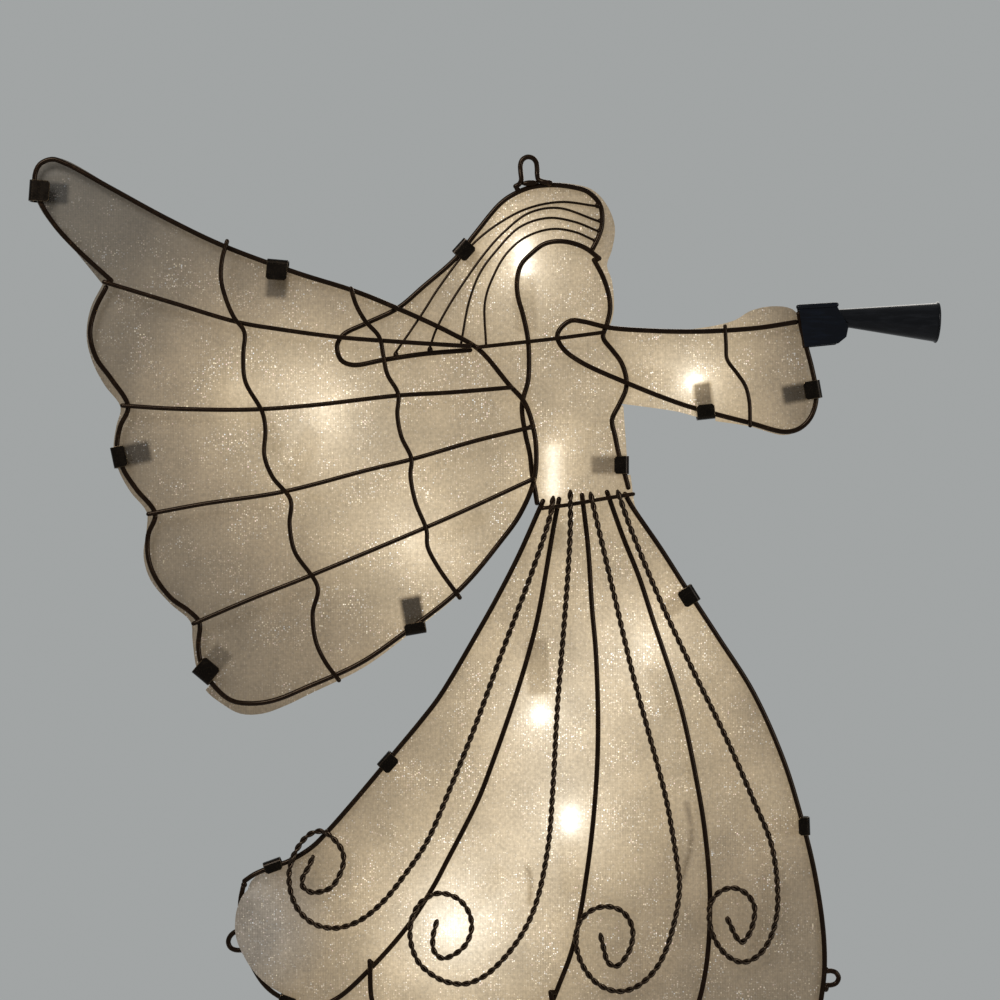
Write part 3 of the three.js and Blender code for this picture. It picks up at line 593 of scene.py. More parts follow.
def catmull_rom(points, knots, t):
    def between(one, two, low, high):
        return one.lerp(two, (t - knots[low]) / (knots[high] - knots[low]))

    first = [between(points[i], points[i + 1], i, i + 1) for i in range(3)]
    second = [between(first[i], first[i + 1], i, i + 2) for i in range(2)]
    return between(second[0], second[1], 1, 2)


def sections(points):
    """Position, side and up of a frame that turns as little as it can along the points."""
    rows = []
    side = BACKWARD
    for i, point in enumerate(points):
        along = (points[min(i + 1, len(points) - 1)] - points[max(i - 1, 0)]).normalized()
        side = (side - along * side.dot(along)).normalized()
        rows.append((point, side, along.cross(side)))
    return rows


def wound(middle, reach, pitch, start=0.0):
    """Two runs wound about each other, each a reach from the middle one."""
    rows = sections(middle)
    pair = []
    for phase in (start, start + math.pi):
        points = []
        run = 0.0
        last = middle[0]
        for at, side, up in rows:
            run += (at - last).length
            last = at
            turn = phase + 2 * math.pi * run / pitch
            points.append(at + side * reach * math.cos(turn) + up * reach * math.sin(turn))
        pair.append(points)
    return pair


def ring_of(mesh, at, side, up, radius, sides):
    turns = [2 * math.pi * i / sides for i in range(sides)]
    return [mesh.verts.new(at + side * radius * math.cos(a) + up * radius * math.sin(a)) for a in turns]


def bridge(mesh, one, two):
    """Faces between two rings, either of which may be a single point."""
    count = max(len(one), len(two))
    for i in range(count):
        j = (i + 1) % count
        around = ((one, i), (one, j), (two, j), (two, i))
        corners = dict.fromkeys(ring[k % len(ring)] for ring, k in around)
        if len(corners) > 2:
            mesh.faces.new(tuple(corners))


def tube_mesh(name, points, radius, sides=12):
    """A round bar along points, with its ends rounded over."""
    mesh = bmesh.new()
    rows = sections(points)
    rings = [ring_of(mesh, *row, radius, sides) for row in rows]
    for one, two in zip(rings, rings[1:]):
        bridge(mesh, one, two)
    for end, inner in ((0, 1), (-1, -2)):
        outward = (points[end] - points[inner]).normalized() * radius
        at, side, up = rows[end]
        last = rings[end]
        for a in END_TURNS:
            cap = ring_of(mesh, at + outward * math.sin(a), side, up, radius * math.cos(a), sides)
            bridge(mesh, last, cap)
            last = cap
        bridge(mesh, last, [mesh.verts.new(at + outward)])
    return finish_mesh(name, mesh)


def lathe_mesh(name, profile, start, direction, sides=32):
    """A turned piece: radius and height pairs, heights along direction from start."""
    mesh = bmesh.new()
    direction = direction.normalized()
    side = direction.orthogonal().normalized()
    up = direction.cross(side)
    rings = []
    for radius, height in profile:
        at = start + direction * height
        if radius < NOTHING:
            rings.append([mesh.verts.new(at)])
        else:
            rings.append(ring_of(mesh, at, side, up, radius, sides))
    for one, two in zip(rings, rings[1:]):
        bridge(mesh, one, two)
    return finish_mesh(name, mesh)


def set_all(thing, settings):
    for name, value in settings.items():
        setattr(thing, name, value)


def new_object(name, data, spot=(0, 0, 0)):
    made = bpy.data.objects.new(name, data)
    made.location = spot
    bpy.context.scene.collection.objects.link(made)
    return made


def new_light(name, kind, spot, watts, colour, settings):
    light = bpy.data.lights.new(name, kind)
    set_all(light, {"energy": watts, "color": colour, **settings})
    return new_object(name, light, spot)


def finish_mesh(name, mesh, smooth=True):
    bmesh.ops.recalc_face_normals(mesh, faces=mesh.faces)
    data = bpy.data.meshes.new(name)
    mesh.to_mesh(data)
    mesh.free()
    for face in data.polygons:
        face.use_smooth = smooth
    return new_object(name, data)


def sharpen(piece):
    """Keeps smooth shading off the edges that turn sharply."""
    mesh = bmesh.new()
    mesh.from_mesh(piece.data)
    for edge in mesh.edges:
        if len(edge.link_faces) == 2 and edge.calc_face_angle(0) > SHARP_TURN:
            edge.smooth = False
    mesh.to_mesh(piece.data)
    mesh.free()


def thicken(piece, thickness):
    """Gives a flat piece its thickness, half of it on each side."""
    set_all(piece.modifiers.new("sheet", "SOLIDIFY"), {"thickness": thickness, "offset": 0})


def soften(piece, width):
    set_all(piece.modifiers.new("edges", "BEVEL"), {"width": width, "segments": 2})


def apply_modifiers(piece):
    graph = bpy.context.evaluated_depsgraph_get()
    data = bpy.data.meshes.new_from_object(piece.evaluated_get(graph))
    piece.modifiers.clear()
    piece.data = data


def join_pieces(name, parts):
    """Parts as one object, named and with their materials kept."""
    bpy.ops.object.select_all(action="DESELECT")
    for part in parts:
        part.select_set(True)
    bpy.context.view_layer.objects.active = parts[0]
    if len(parts) > 1:
        bpy.ops.object.join()
    parts[0].name = name
    parts[0].data.name = name
    return parts[0]


def dress(piece, material, slot, *nodes, body="frame"):
    """Gives a piece its material and body, and the solids that it stands for. The slot is not used."""
    piece.data.materials.clear()
    piece.data.materials.append(material)
    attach(piece, body)
    if nodes:
        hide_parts(*nodes)


# Wires.
def route(pixels, kind, step):
    """Points of a wire's route, with one end lifted off its layer if need be."""
    _, depth, lift = kind
    points = [place(pixel, depth) for pixel in pixels]
    if lift:
        by, stretch, end = lift
        start = points[end].copy()
        for point in points:
            near = max(0.0, 1 - (point - start).length / stretch)
            point.y += by * min(1.0, 2 * near)
    return spline(points, step)


def keep_wire(name, piece, points, diameter, material):
    """Dresses a wire's piece and keeps its run, for the welds."""
    dress(piece, material, "wire", name)
    WIRE_RUNS[name] = (points, diameter)


def make_wire(name, kind, pixels, material, step=WIRE_STEP):
    points = route(pixels, kind, step)
    diameter = kind[0]
    keep_wire(name, tube_mesh(name + "_bar", points, diameter / 2), points, diameter, material)


def twisted_pair(name, kind, pixels, material):
    """Two thin wires wound about each other along the route."""
    middle = route(pixels, kind, SCROLL_STEP)
    diameter = kind[0]
    strand = diameter * STRAND_SHARE
    pair = wound(middle, (diameter - strand) / 2, TWIST_PITCH)
    parts = [tube_mesh(f"{name}.strand", points, strand / 2, sides=8) for points in pair]
    keep_wire(name, join_pieces(name + "_twisted", parts), middle, diameter, material)


def make_loop(material):
    """The hanging loop, which comes forward at its feet."""
    bends = [place(pixel, BODY_DEPTH + pixel[2] * OUTLINE_DEPTH) for pixel in LOOP_PIXELS]
    points = spline(bends, LOOP_STEP)
    piece = tube_mesh("hanging_loop_bent", points, FRAME_WIRE / 2, sides=16)
    keep_wire("hanging_loop", piece, points, FRAME_WIRE, material)


def make_wires(wire, twist):
    for name, (kind, pixels) in WIRES.items():
        if kind is SCROLL_BAR:
            twisted_pair(name, kind, pixels, twist)
        else:
            make_wire(name, kind, pixels, wire)
    make_loop(wire)
    for name, pixels in TIE_LOOPS.items():
        make_wire(name, BODY_BAR, pixels, wire, LOOP_STEP)


# Welds.
def crossing_points(one, two):
    """Where two runs cross in the front view, with the depth of each."""
    found = []
    for a, b in zip(one, one[1:]):
        low_x, high_x = min(a.x, b.x), max(a.x, b.x)
        low_z, high_z = min(a.z, b.z), max(a.z, b.z)
        for c, d in zip(two, two[1:]):
            if max(c.x, d.x) < low_x or min(c.x, d.x) > high_x:
                continue
            if max(c.z, d.z) < low_z or min(c.z, d.z) > high_z:
                continue
            hit = intersect_line_line_2d(*(p.xz for p in (a, b, c, d)))
            if hit:
                found.append((Vector((hit.x, a.y, hit.y)), Vector((hit.x, c.y, hit.y))))
    return found


def joints_between(one, two):
    """The pairs of points at which two runs are welded: crossings, and ends that touch."""
    pairs = crossing_points(one, two)
    for ended, other in ((one, two), (two, one)):
        for end in (ended[0], ended[-1]):
            nearest = min(other, key=lambda point: (point.xz - end.xz).length)
            if (nearest.xz - end.xz).length < END_REACH:
                pairs.append((end, nearest))
    spots = []
    for near, far in pairs:
        apart = all((near - other).length > BEAD_SPACING for other, _ in spots)
        if apart and abs(near.y - far.y) <= WELD_REACH:
            spots.append((near, far))
    return spots


def weld_bead(one, two, width, ends, seed):
    """A small lump of weld from one point to another, of a half width and with rounded ends."""
    mesh = bmesh.new()
    gap = two - one
    along = gap.normalized() if gap.length > WELD_GAP else BACKWARD
    turn = along.to_track_quat("Y", "Z")
    reach = gap.length / 2 + ends
    bmesh.ops.create_icosphere(mesh, subdivisions=3, radius=1.0)
    chance = random.Random(seed)
    lean = [chance.uniform(*BEAD_LEAN) for _ in range(2)]
    for vertex in mesh.verts:
        at = vertex.co
        sized = Vector((at.x * width * lean[0], at.y * reach, at.z * width * lean[1]))
        vertex.co = (one + two) / 2 + turn @ sized
    return finish_mesh("bead", mesh)


def make_welds(name, runs, material):
    """Beads at the crossings and touching ends within a sub-assembly."""
    parts = []
    names = sorted(runs)
    for i, first in enumerate(names):
        for second in names[i + 1:]:
            one, width_one = WIRE_RUNS[first]
            two, width_two = WIRE_RUNS[second]
            width = max(width_one, width_two) / 2 * BEAD_WIDTH
            ends = min(width_one, width_two) / 2 * BEAD_SHARE
            for near, far in joints_between(one, two):
                parts.append(weld_bead(near, far, width, ends, len(parts)))
    dress(join_pieces(name, parts), material, "wire")


def make_solder(material):
    """The beads at the hanging loop's feet and on the legs of the tie-down loops."""
    spots = [[place(pixel, OUTLINE_DEPTH / 2) for pixel in pair] for pair in LOOP_SOLDER]
    spots += [[place(pixel, BODY_DEPTH) for pixel in pair] for pair in HEM_SOLDER]
    parts = [weld_bead(one, two, SOLDER_WIDTH, 0, i) for i, (one, two) in enumerate(spots)]
    dress(join_pieces("loop_solder", parts), material, "wire")


# Clips.
def clip_to_place(points, at, turn):
    """Points with X along the tab, Y backwards and Z along the wire, put into their clip's place."""
    centre = place(at)
    along = heading(turn)
    across = Vector((-along.z, 0, along.x))
    return [centre + along * u + BACKWARD * y + across * w for u, y, w in points]


def near_end(end, before):
    """A point of a strip's path, one corner cut away from its end."""
    share = CORNER_CUT / math.dist(end, before)
    return tuple(a + (b - a) * share for a, b in zip(end, before))


def clip_path(depth, length):
    """The bent path of a clip's strip, as run along the tab and depth."""
    face = depth - FRAME_WIRE / 2 - WELD_GAP - CLIP_SHEET / 2
    tab = MESH_BACK + WELD_GAP + CLIP_SHEET / 2
    fold = -CLIP_REACH + CLIP_SHEET / 2
    bend = []
    for i in range(BEND_STEPS + 1):
        a = math.pi / 2 * i / BEND_STEPS
        bend.append((fold + FOLD_RADIUS * (1 - math.sin(a)), FOLD_RADIUS * (1 - math.cos(a))))
    lip = (length - CLIP_REACH, face + CLIP_LEAN)
    end = (CLIP_TAB - CLIP_REACH, tab)
    path = [(u, face + y) for u, y in bend] + [(u, tab - y) for u, y in reversed(bend)]
    return [lip, near_end(lip, path[0]), *path, near_end(end, path[-1]), end]


def make_clip(name, clip, material):
    """A folded strip: a face in front, a round fold, and a longer tab behind the mesh."""
    at, turn, (depth, width), length, _ = clip
    path = clip_path(depth, length)
    mesh = bmesh.new()
    rows = []
    for u, y in path:
        w = width / 2 - (CORNER_CUT if (u, y) in (path[0], path[-1]) else 0)
        rows.append([mesh.verts.new(point) for point in clip_to_place([(u, y, -w), (u, y, w)], at, turn)])
    for one, two in zip(rows, rows[1:]):
        mesh.faces.new((one[0], one[1], two[1], two[0]))
    piece = finish_mesh(name + "_folded", mesh, smooth=False)
    thicken(piece, CLIP_SHEET)
    soften(piece, CLIP_EDGE)
    dress(piece, material, "clip", *([name] if name in CLIPS else []))


# Trumpet.
def make_horn(material):
    start = place(HORN_NECK_PIXEL, OUTLINE_DEPTH)
    run = place(HORN_MOUTH_PIXEL, OUTLINE_DEPTH) - start
    length = run.length
    grip = place(BRACKET_PIXELS[2]).x - start.x
    neck = HORN_NECK / 2
    waist = HORN_GRIP / 2
    roll = HORN_WALL * ROLL_SHARE
    brim = HORN_MOUTH / 2 - roll
    profile = [(0, 0), (neck - HORN_CHAMFER, 0), (neck, HORN_CHAMFER), (waist, grip)]
    profile.append((brim, length - 2 * roll))
    for i in range(ROLL_STEPS + 1):
        a = math.pi * i / ROLL_STEPS
        profile.append((brim + roll * math.sin(a), length - roll - roll * math.cos(a)))
    profile += [(brim - roll, length - 2 * roll), (waist - HORN_WALL, grip)]
    profile += [(neck - HORN_WALL, grip / 2), (0, grip / 2)]
    horn = lathe_mesh("trumpet_horn_cone", profile, start, run, sides=64)
    sharpen(horn)
    dress(horn, material, "trumpet", "trumpet_horn")


def bracket_plate(corners):
    """A flat plate of the bracket's sheet with softened edges, from its corner points."""
    mesh = bmesh.new()
    mesh.faces.new([mesh.verts.new(point) for point in corners])
    piece = finish_mesh("plate", mesh, smooth=False)
    thicken(piece, BRACKET_SHEET)
    soften(piece, SHEET_EDGE)
    apply_modifiers(piece)
    return piece


def make_bracket(material):
    """Two cheeks that open with the horn, the lid that joins them and its rolled edge."""
    outline = [place(pixel) for pixel in BRACKET_PIXELS]
    left, top, right = outline[:3]
    narrow = HORN_NECK / 2 + WELD_GAP
    wide = HORN_GRIP / 2 + 2 * WELD_GAP
    slope = (wide - narrow) / (right.x - left.x)

    def corner(point, side):
        room = narrow + (point.x - left.x) * slope + BRACKET_SHEET / 2
        return Vector((point.x, OUTLINE_DEPTH + side * room, point.z))

    plates = [[corner(point, side) for point in outline] for side in (-1, 1)]
    plates.append([corner(left, -1), corner(top, -1), corner(top, 1), corner(left, 1)])
    parts = [bracket_plate(plate) for plate in plates]
    parts.append(tube_mesh("roll", [corner(left, -1), corner(top, -1)], BRACKET_ROLL / 2, sides=20))
    dress(join_pieces("trumpet_bracket_fold", parts), material, "trumpet", "trumpet_bracket")


# Mesh panels.
def inside(point, outline):
    """Whether a flat point lies within a closed outline."""
    within = False
    for (ax, ay), (bx, by) in zip(outline, outline[1:] + outline[:1]):
        if (ay > point[1]) != (by > point[1]):
            within ^= point[0] < ax + (point[1] - ay) * (bx - ax) / (by - ay)
    return within


def fold_room(clip):
    """The corners of the room that a clip's fold takes out of the mesh."""
    at, turn, (_, width), *_ = clip
    half = width / 2 + WELD_GAP
    inner = -CLIP_REACH + CLIP_SHEET + WELD_GAP
    outer = inner - LONG_FACE
    flat = [(outer, 0, -half), (inner, 0, -half), (inner, 0, half), (outer, 0, half)]
    return [(p.x, p.z) for p in clip_to_place(flat, at, turn)]


def bracket_room():
    """The corners of the room that the trumpet's bracket takes out of the mesh."""
    low = place((BRACKET_PIXELS[0][0], BRACKET_PIXELS[5][1]))
    high = place((BRACKET_PIXELS[2][0], BRACKET_PIXELS[1][1]))
    low += Vector((BRACKET_LAP - WELD_GAP, 0, -WELD_GAP))
    high += Vector((WELD_GAP + BRACKET_ROLL, 0, WELD_GAP + BRACKET_ROLL))
    return [(low.x, low.z), (high.x, low.z), (high.x, high.z), (low.x, high.z)]


def smooth_outline(points):
    """The closed outline with its gentle bends rounded and its sharp corners kept."""
    corners = []
    for i, point in enumerate(points):
        before = point - points[i - 1]
        after = points[(i + 1) % len(points)] - point
        if before.angle(after) > PANEL_CORNER:
            corners.append(i)
    smooth = []
    for start, end in zip(corners, corners[1:] + [corners[0] + len(points)]):
        stretch = [points[i % len(points)] for i in range(start, end + 1)]
        smooth += spline(stretch, PANEL_EDGE_STEP)[:-1]
    return smooth


def eased(value, start, end):
    """0 at the start, 1 at the end, and a smooth rise between."""
    share = min(1, max(0, (value - start) / (end - start)))
    return share * share * (3 - 2 * share)


def panel_depth(point, laps):
    """The depth of the stretched mesh, with its give, and its lap over the hem wire if it laps."""
    middle = (MESH_FRONT + MESH_BACK) / 2
    give = MESH_SLACK * math.sin(point.x / SLACK_WAVE) * math.cos(point.y / SLACK_WAVE * SLACK_SQUEEZE)
    if not laps:
        return middle + give
    across = point.x / PIXEL + LOOP_PIXEL[0]
    down = LOOP_PIXEL[1] - point.y / PIXEL
    share = eased(across, *LAP_ACROSS) * eased(down, *LAP_DOWN)
    return middle + give + (LAP_DEPTH - MESH_CLOTH - middle) * share


def panel_triangles(outline, rooms, size, low):
    """Flat points and triangles that fill the outline and follow the edges of the rooms cut out of it."""
    points = list(outline)
    faces = [list(range(len(outline)))]
    for room in rooms:
        if any(inside(corner, outline) for corner in room):
            faces.append(list(range(len(points), len(points) + len(room))))
            points += room
    columns, rows = (int(length / PANEL_STEP) for length in size)
    for i in range(1, columns):
        for j in range(1, rows):
            spot = (low[0] + i * PANEL_STEP, low[1] + j * PANEL_STEP)
            if inside(spot, outline):
                points.append(spot)
    flat = [Vector(point) for point in points]
    corners, _, triangles, *_ = delaunay_2d_cdt(flat, [], faces, 0, WELD_GAP / 100)
    return corners, triangles


def make_panel(name, pixels, material):
    """A flat cut of the sheer mesh, stretched behind its wires and notched for the clips."""
    outline = [(p.x, p.z) for p in smooth_outline([place(pixel) for pixel in pixels])]
    rooms = [fold_room(clip) for clip in ALL_CLIPS.values()] + [bracket_room()]
    low = [min(p[i] for p in outline) for i in range(2)]
    size = [max(p[i] for p in outline) - low[i] for i in range(2)]
    corners, triangles = panel_triangles(outline, rooms, size, low)
    mesh = bmesh.new()
    laps = name == "skirt_mesh"
    made = [mesh.verts.new((p.x, panel_depth(p, laps), p.y)) for p in corners]
    for triangle in triangles:
        middle = sum((corners[i] for i in triangle), Vector((0, 0))) / 3
        if inside(middle, outline) and not any(inside(middle, room) for room in rooms):
            mesh.faces.new([made[i] for i in triangle])
    loose = [vertex for vertex in mesh.verts if not vertex.link_faces]
    bmesh.ops.delete(mesh, geom=loose, context="VERTS")
    area = sum(face.calc_area() for face in mesh.faces)
    piece = finish_mesh(name + "_sheer", mesh)
    thicken(piece, MESH_CLOTH)
    dress(piece, material, "mesh", name)


# Lamps.
def lamp_axis(at, turn):
    """A socket's tail and rim, and the direction between them."""
    middle = place(at, LAMP_DEPTH)
    direction = heading(turn)
    return middle - direction * SOCKET_LENGTH / 2, middle + direction * SOCKET_LENGTH / 2, direction


def make_socket(tail, direction):
    full = SOCKET_DIAMETER / 2
    small = SOCKET_TAIL / 2
    bore = SOCKET_BORE / 2
    profile = [(0, 0), (small - RIM_EDGE, 0), (small, RIM_EDGE), (small, SOCKET_LENGTH / 4)]
    profile.append((full, SOCKET_LENGTH / 2))
    for i in range(SOCKET_RIBS):
        start = SOCKET_LENGTH * (RIBS_START + RIBS_PITCH * i)
        for step, cut in enumerate((0, RIB_CUT, RIB_CUT, 0)):
            profile.append((full - cut, start + step * RIB_CUT))
    profile += [(full, SOCKET_LENGTH - RIM_EDGE), (full - RIM_EDGE, SOCKET_LENGTH)]
    profile += [(bore + RIM_EDGE, SOCKET_LENGTH), (bore, SOCKET_LENGTH - RIM_EDGE)]
    profile += [(bore, SOCKET_LENGTH - BORE_DEPTH), (0, SOCKET_LENGTH - BORE_DEPTH)]
    piece = lathe_mesh("socket", profile, tail, direction, sides=36)
    sharpen(piece)
    return piece


def make_base(body, seat, direction, plastic):
    """The base that pushes into the socket, and the collar that stays out of it."""
    base = SOCKET_BORE / 2 - BASE_CLEARANCE
    collar = COLLAR_DIAMETER / 2
    profile = [(0, 0), (base - SOFT_EDGE, 0), (base, SOFT_EDGE), (base, BASE_LENGTH)]
    profile += [(collar - SOFT_EDGE, BASE_LENGTH), (collar, BASE_LENGTH + SOFT_EDGE)]
    profile += [(collar, SHOULDER - SOFT_EDGE), (collar - SOFT_EDGE, SHOULDER), (0, SHOULDER)]
    piece = lathe_mesh(f"{body}_base", profile, seat, direction)
    sharpen(piece)
    dress(piece, plastic, "holder", body=body)


def make_glass(body, seat, direction, glass):
    """The bulb's glass: a straight tube, a round end and the pinched tip."""
    radius = GLASS_DIAMETER / 2
    straight = SHOULDER + GLASS_LENGTH - TIP_LENGTH - radius
    crown = straight + radius
    profile = [(0, SHOULDER), (radius - SOFT_EDGE, SHOULDER), (radius, SHOULDER + SOFT_EDGE)]
    for i in range(TIP_STEPS):
        a = math.pi / 2 * i / TIP_STEPS
        profile.append((radius * math.cos(a), straight + radius * math.sin(a)))
    profile += [(TIP_WAIST / 2, crown), (TIP_WAIST / 3, crown + TIP_LENGTH / 2)]
    profile.append((0, SHOULDER + GLASS_LENGTH))
    dress(lathe_mesh(f"{body}_glass", profile, seat, direction), glass, "bulb", body, body=body)


def make_filament(body, seat, direction, hot):
    foot = seat + direction * (SHOULDER + SOFT_EDGE)
    rise = direction * FILAMENT_RISE
    spread = direction.cross(BACKWARD).normalized() * FILAMENT_SPREAD
    left = foot - spread
    right = foot + spread
    arch = [left, left + rise, foot + rise * FILAMENT_CROWN, right + rise, right]
    piece = tube_mesh(f"{body}_filament", spline(arch, FILAMENT_STEP), FILAMENT_WIRE / 2, sides=8)
    dress(piece, hot, "bulb", body=body)


def make_shine(body, seat, direction):
    """A small light behind the bulb's tip, that moves with it."""
    spot = seat + direction * (SHOULDER + GLASS_LENGTH) + BACKWARD * GLASS_DIAMETER
    size = {"shadow_soft_size": GLASS_DIAMETER / 2}
    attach(new_light(f"{body}_light", "POINT", spot, BULB_WATTS, BULB_COLOUR, size), body)


def cord_points(one, two, pixels):
    """The cord's points from one socket's tail to the next one's."""
    first, last = (tail + direction * CORD_DIAMETER for tail, _, direction in (one, two))
    first.y = last.y = CORD_DEPTH
    return [first, *(place(pixel, CORD_DEPTH) for pixel in pixels), last]


def make_lamps(glass, plastic, lead, hot):
    """The sockets, the cord's two leads, and the push-in bulbs."""
    ends = [lamp_axis(at, turn) for at, turn, _ in LAMPS]
    sockets = [make_socket(tail, direction) for tail, _, direction in ends]
    dress(join_pieces("lamp_sockets", sockets), plastic, "holder", "lamp_string")
    leads = []
    for one, two, (_, _, pixels) in zip(ends, ends[1:], LAMPS):
        middle = spline(cord_points(one, two, pixels), LEAD_STEP)
        for points in wound(middle, CORD_DIAMETER / 4, LEAD_PITCH, math.pi / 2):
            leads.append(tube_mesh("lead", points, CORD_DIAMETER / 4 - LEAD_GAP, sides=8))
    dress(join_pieces("lamp_leads", leads), lead, "holder")
    for i, (_, rim, direction) in enumerate(ends):
        body = f"bulb_{i + 1}"
        seat = rim + direction * (WELD_GAP - BASE_LENGTH)
        make_base(body, seat, direction, plastic)
        make_glass(body, seat, direction, glass)
        make_filament(body, seat, direction, hot)
        make_shine(body, seat, direction)


# Materials.
def link(tree, start, end):
    """Sets an input to a number, or links it to a value or a socket."""
    if isinstance(start, Value):
        start = start.socket
    if isinstance(start, bpy.types.NodeSocket):
        tree.links.new(start, end)
    else:
        end.default_value = start


def add_node(tree, kind, inputs=(), **settings):
    """A node with its settings, and its inputs given by name or place."""
    made = tree.nodes.new(kind)
    set_all(made, settings)
    for key, value in dict(inputs).items():
        link(tree, value, made.inputs[key])
    return made


class Value:
    """A number worked out by a material's nodes, to be written in sums and products."""

    def __init__(self, look, socket):
        self.look = look
        self.socket = socket

    def __add__(self, other):
        return self.look.math("ADD", self, other)

    def __mul__(self, other):
        return self.look.math("MULTIPLY", self, other)

    __radd__ = __add__
    __rmul__ = __mul__


class Look:
    """A material with short calls for the nodes it needs."""

    INPUTS = {
        "base": "Base Color", "metal": "Metallic", "rough": "Roughness", "alpha": "Alpha",
        "coat": "Coat Weight", "coat_rough": "Coat Roughness", "specular": "Specular IOR Level",
        "shine_tint": "Specular Tint", "through": "Transmission Weight", "ior": "IOR",
        "glow": "Emission Color", "glow_strength": "Emission Strength", "sheen": "Sheen Weight",
    }

    def __init__(self, name):
        self.material = bpy.data.materials.new(name)
        self.material.use_nodes = True
        self.tree = self.material.node_tree
        self.shader = self.tree.nodes["Principled BSDF"]
        self.place = self.node("ShaderNodeTexCoord").outputs["Object"]

    def node(self, kind, inputs=(), **settings):
        return add_node(self.tree, kind, inputs, **settings)

    def math(self, operation, *values):
        made = self.node("ShaderNodeMath", enumerate(values), operation=operation)
        return Value(self, made.outputs[0])

    def vector(self, operation, *values):
        """The outcome of a sum with vectors: a number if the operation gives one."""
        made = self.node("ShaderNodeVectorMath", enumerate(values), operation=operation)
        if operation in ("DOT_PRODUCT", "LENGTH"):
            return Value(self, made.outputs["Value"])
        return made.outputs["Vector"]

    def noise(self, size, detail=3.0, rough=0.55, place=None):
        inputs = {"Vector": place or self.place, "Scale": 1 / size, "Detail": detail, "Roughness": rough}
        return Value(self, self.node("ShaderNodeTexNoise", inputs).outputs["Fac"])

    def span(self, value, low, high, start=0.0, end=1.0):
        """A value's run from start to end as a run from low to high, and held there beyond."""
        inputs = {"Value": value, "From Min": start, "From Max": end, "To Min": low, "To Max": high}
        return Value(self, self.node("ShaderNodeMapRange", inputs).outputs["Result"])

    def ramp(self, value, *stops):
        made = self.node("ShaderNodeValToRGB", {"Fac": value})
        ramp = made.color_ramp
        while len(ramp.elements) < len(stops):
            ramp.elements.new(0.5)
        for element, (position, colour) in zip(ramp.elements, stops):
            element.position = position
            element.color = (*colour, 1)
        return made.outputs["Color"]

    def mix(self, share, one, two):
        """One colour blended into another."""
        made = self.node("ShaderNodeMix", {"Factor": share}, data_type="RGBA")
        sockets = [socket for socket in made.inputs if socket.type == "RGBA"]
        for colour, socket in zip((one, two), sockets):
            link(self.tree, (*colour, 1) if isinstance(colour, tuple) else colour, socket)
        return next(socket for socket in made.outputs if socket.type == "RGBA")

    def threads(self, run, pitch):
        """Even ridges across a direction, from 0 between threads to 1 on them."""
        return self.span(self.math("SINE", run * (2 * math.pi / pitch)), 0, 1, -1, 1)

    def fading(self, gap, reach):
        """1 where a gap is zero, fading away over a reach."""
        return self.math("EXPONENT", gap * (-1 / reach))

    def bump(self, height, depth, strength):
        made = self.node("ShaderNodeBump", {"Height": height, "Distance": depth, "Strength": strength})
        link(self.tree, made.outputs["Normal"], self.shader.inputs["Normal"])

    def set(self, **values):
        for key, value in values.items():
            if isinstance(value, tuple):
                value = (*value, 1)
            link(self.tree, value, self.shader.inputs[self.INPUTS[key]])


def wire_look(name, shine):
    """Dark lacquered steel: uneven coat, fine drawing marks and rubbed spots."""
    look = Look(name)
    patches = look.noise(WIRE_PATCH, 4)
    spots = look.noise(WIRE_SPOT, 2)
    wear = look.span(patches, 0, 1, 0.5, 0.8) * look.span(spots, 0, 1, 0.45, 0.75)
    look.set(base=look.ramp(wear, (0.0, WIRE_DARK), (0.6, WIRE_WORN)), metal=0.3)
    look.set(specular=shine, shine_tint=WARM_SHINE)
    look.set(rough=look.span(look.noise(WIRE_MARK, 3), 0.16, 0.30, 0.3, 0.7), coat=0.03, coat_rough=0.1)
    look.bump(look.noise(FINE_GRAIN, 3), GRAIN_DEPTH, 0.3)
    return look.material


def clip_look(name):
    """Bronzed spring steel, lighter along its folds and edges: rubbed metal with a painted highlight."""
    look = Look(name)
    rounded = look.node("ShaderNodeBevel", {"Radius": CLIP_RUB_AND_SHEEN}, samples=4)
    plain = look.node("ShaderNodeNewGeometry")
    turned = look.vector("DOT_PRODUCT", rounded.outputs["Normal"], plain.outputs["Normal"])
    grain = look.noise(CLIP_GRAIN, 3)
    # Lighter along the folds and edges, partly rubbed metal and partly painted highlight.
    wear_and_sheen = look.span(turned, 1, 0, 0.80, 0.99) * 0.8 + look.span(grain, 0, 0.12, 0.55, 0.8)
    look.set(base=look.ramp(wear_and_sheen, (0.0, CLIP_DARK), (0.8, CLIP_WEAR_AND_SHEEN)), metal=0.9, specular=0.15)
    look.set(rough=look.span(look.noise(CLIP_PATCH, 4), 0.2, 0.42, 0.3, 0.7), coat=0.04, coat_rough=0.15)
    look.bump(look.noise(FINE_GRAIN, 3), GRAIN_DEPTH, 0.6)
    return look.material


def lacquer_look(name, colour, streak):
    """Gloss lacquer with a slight orange peel and faint lighter streaks along the horn; on the bracket
    the lighter streaks are a painted sheen.
    """
    look = Look(name)
    stretched = look.node("ShaderNodeMapping", {"Vector": look.place, "Scale": LACQUER_STRETCH})
    streaks = look.noise(LACQUER_STREAK, 3, place=stretched.outputs["Vector"])
    look.set(base=look.ramp(streaks, (0.45, colour), (0.8, streak)), metal=0.1, specular=0.1)
    rubs = look.noise(FINE_GRAIN, 4)
    look.set(rough=look.span(rubs, 0.16, 0.30, 0.35, 0.75), coat=0.035, coat_rough=0.1)
    look.bump(look.noise(LACQUER_PEEL, 2), GRAIN_DEPTH, 0.5)
    return look.material


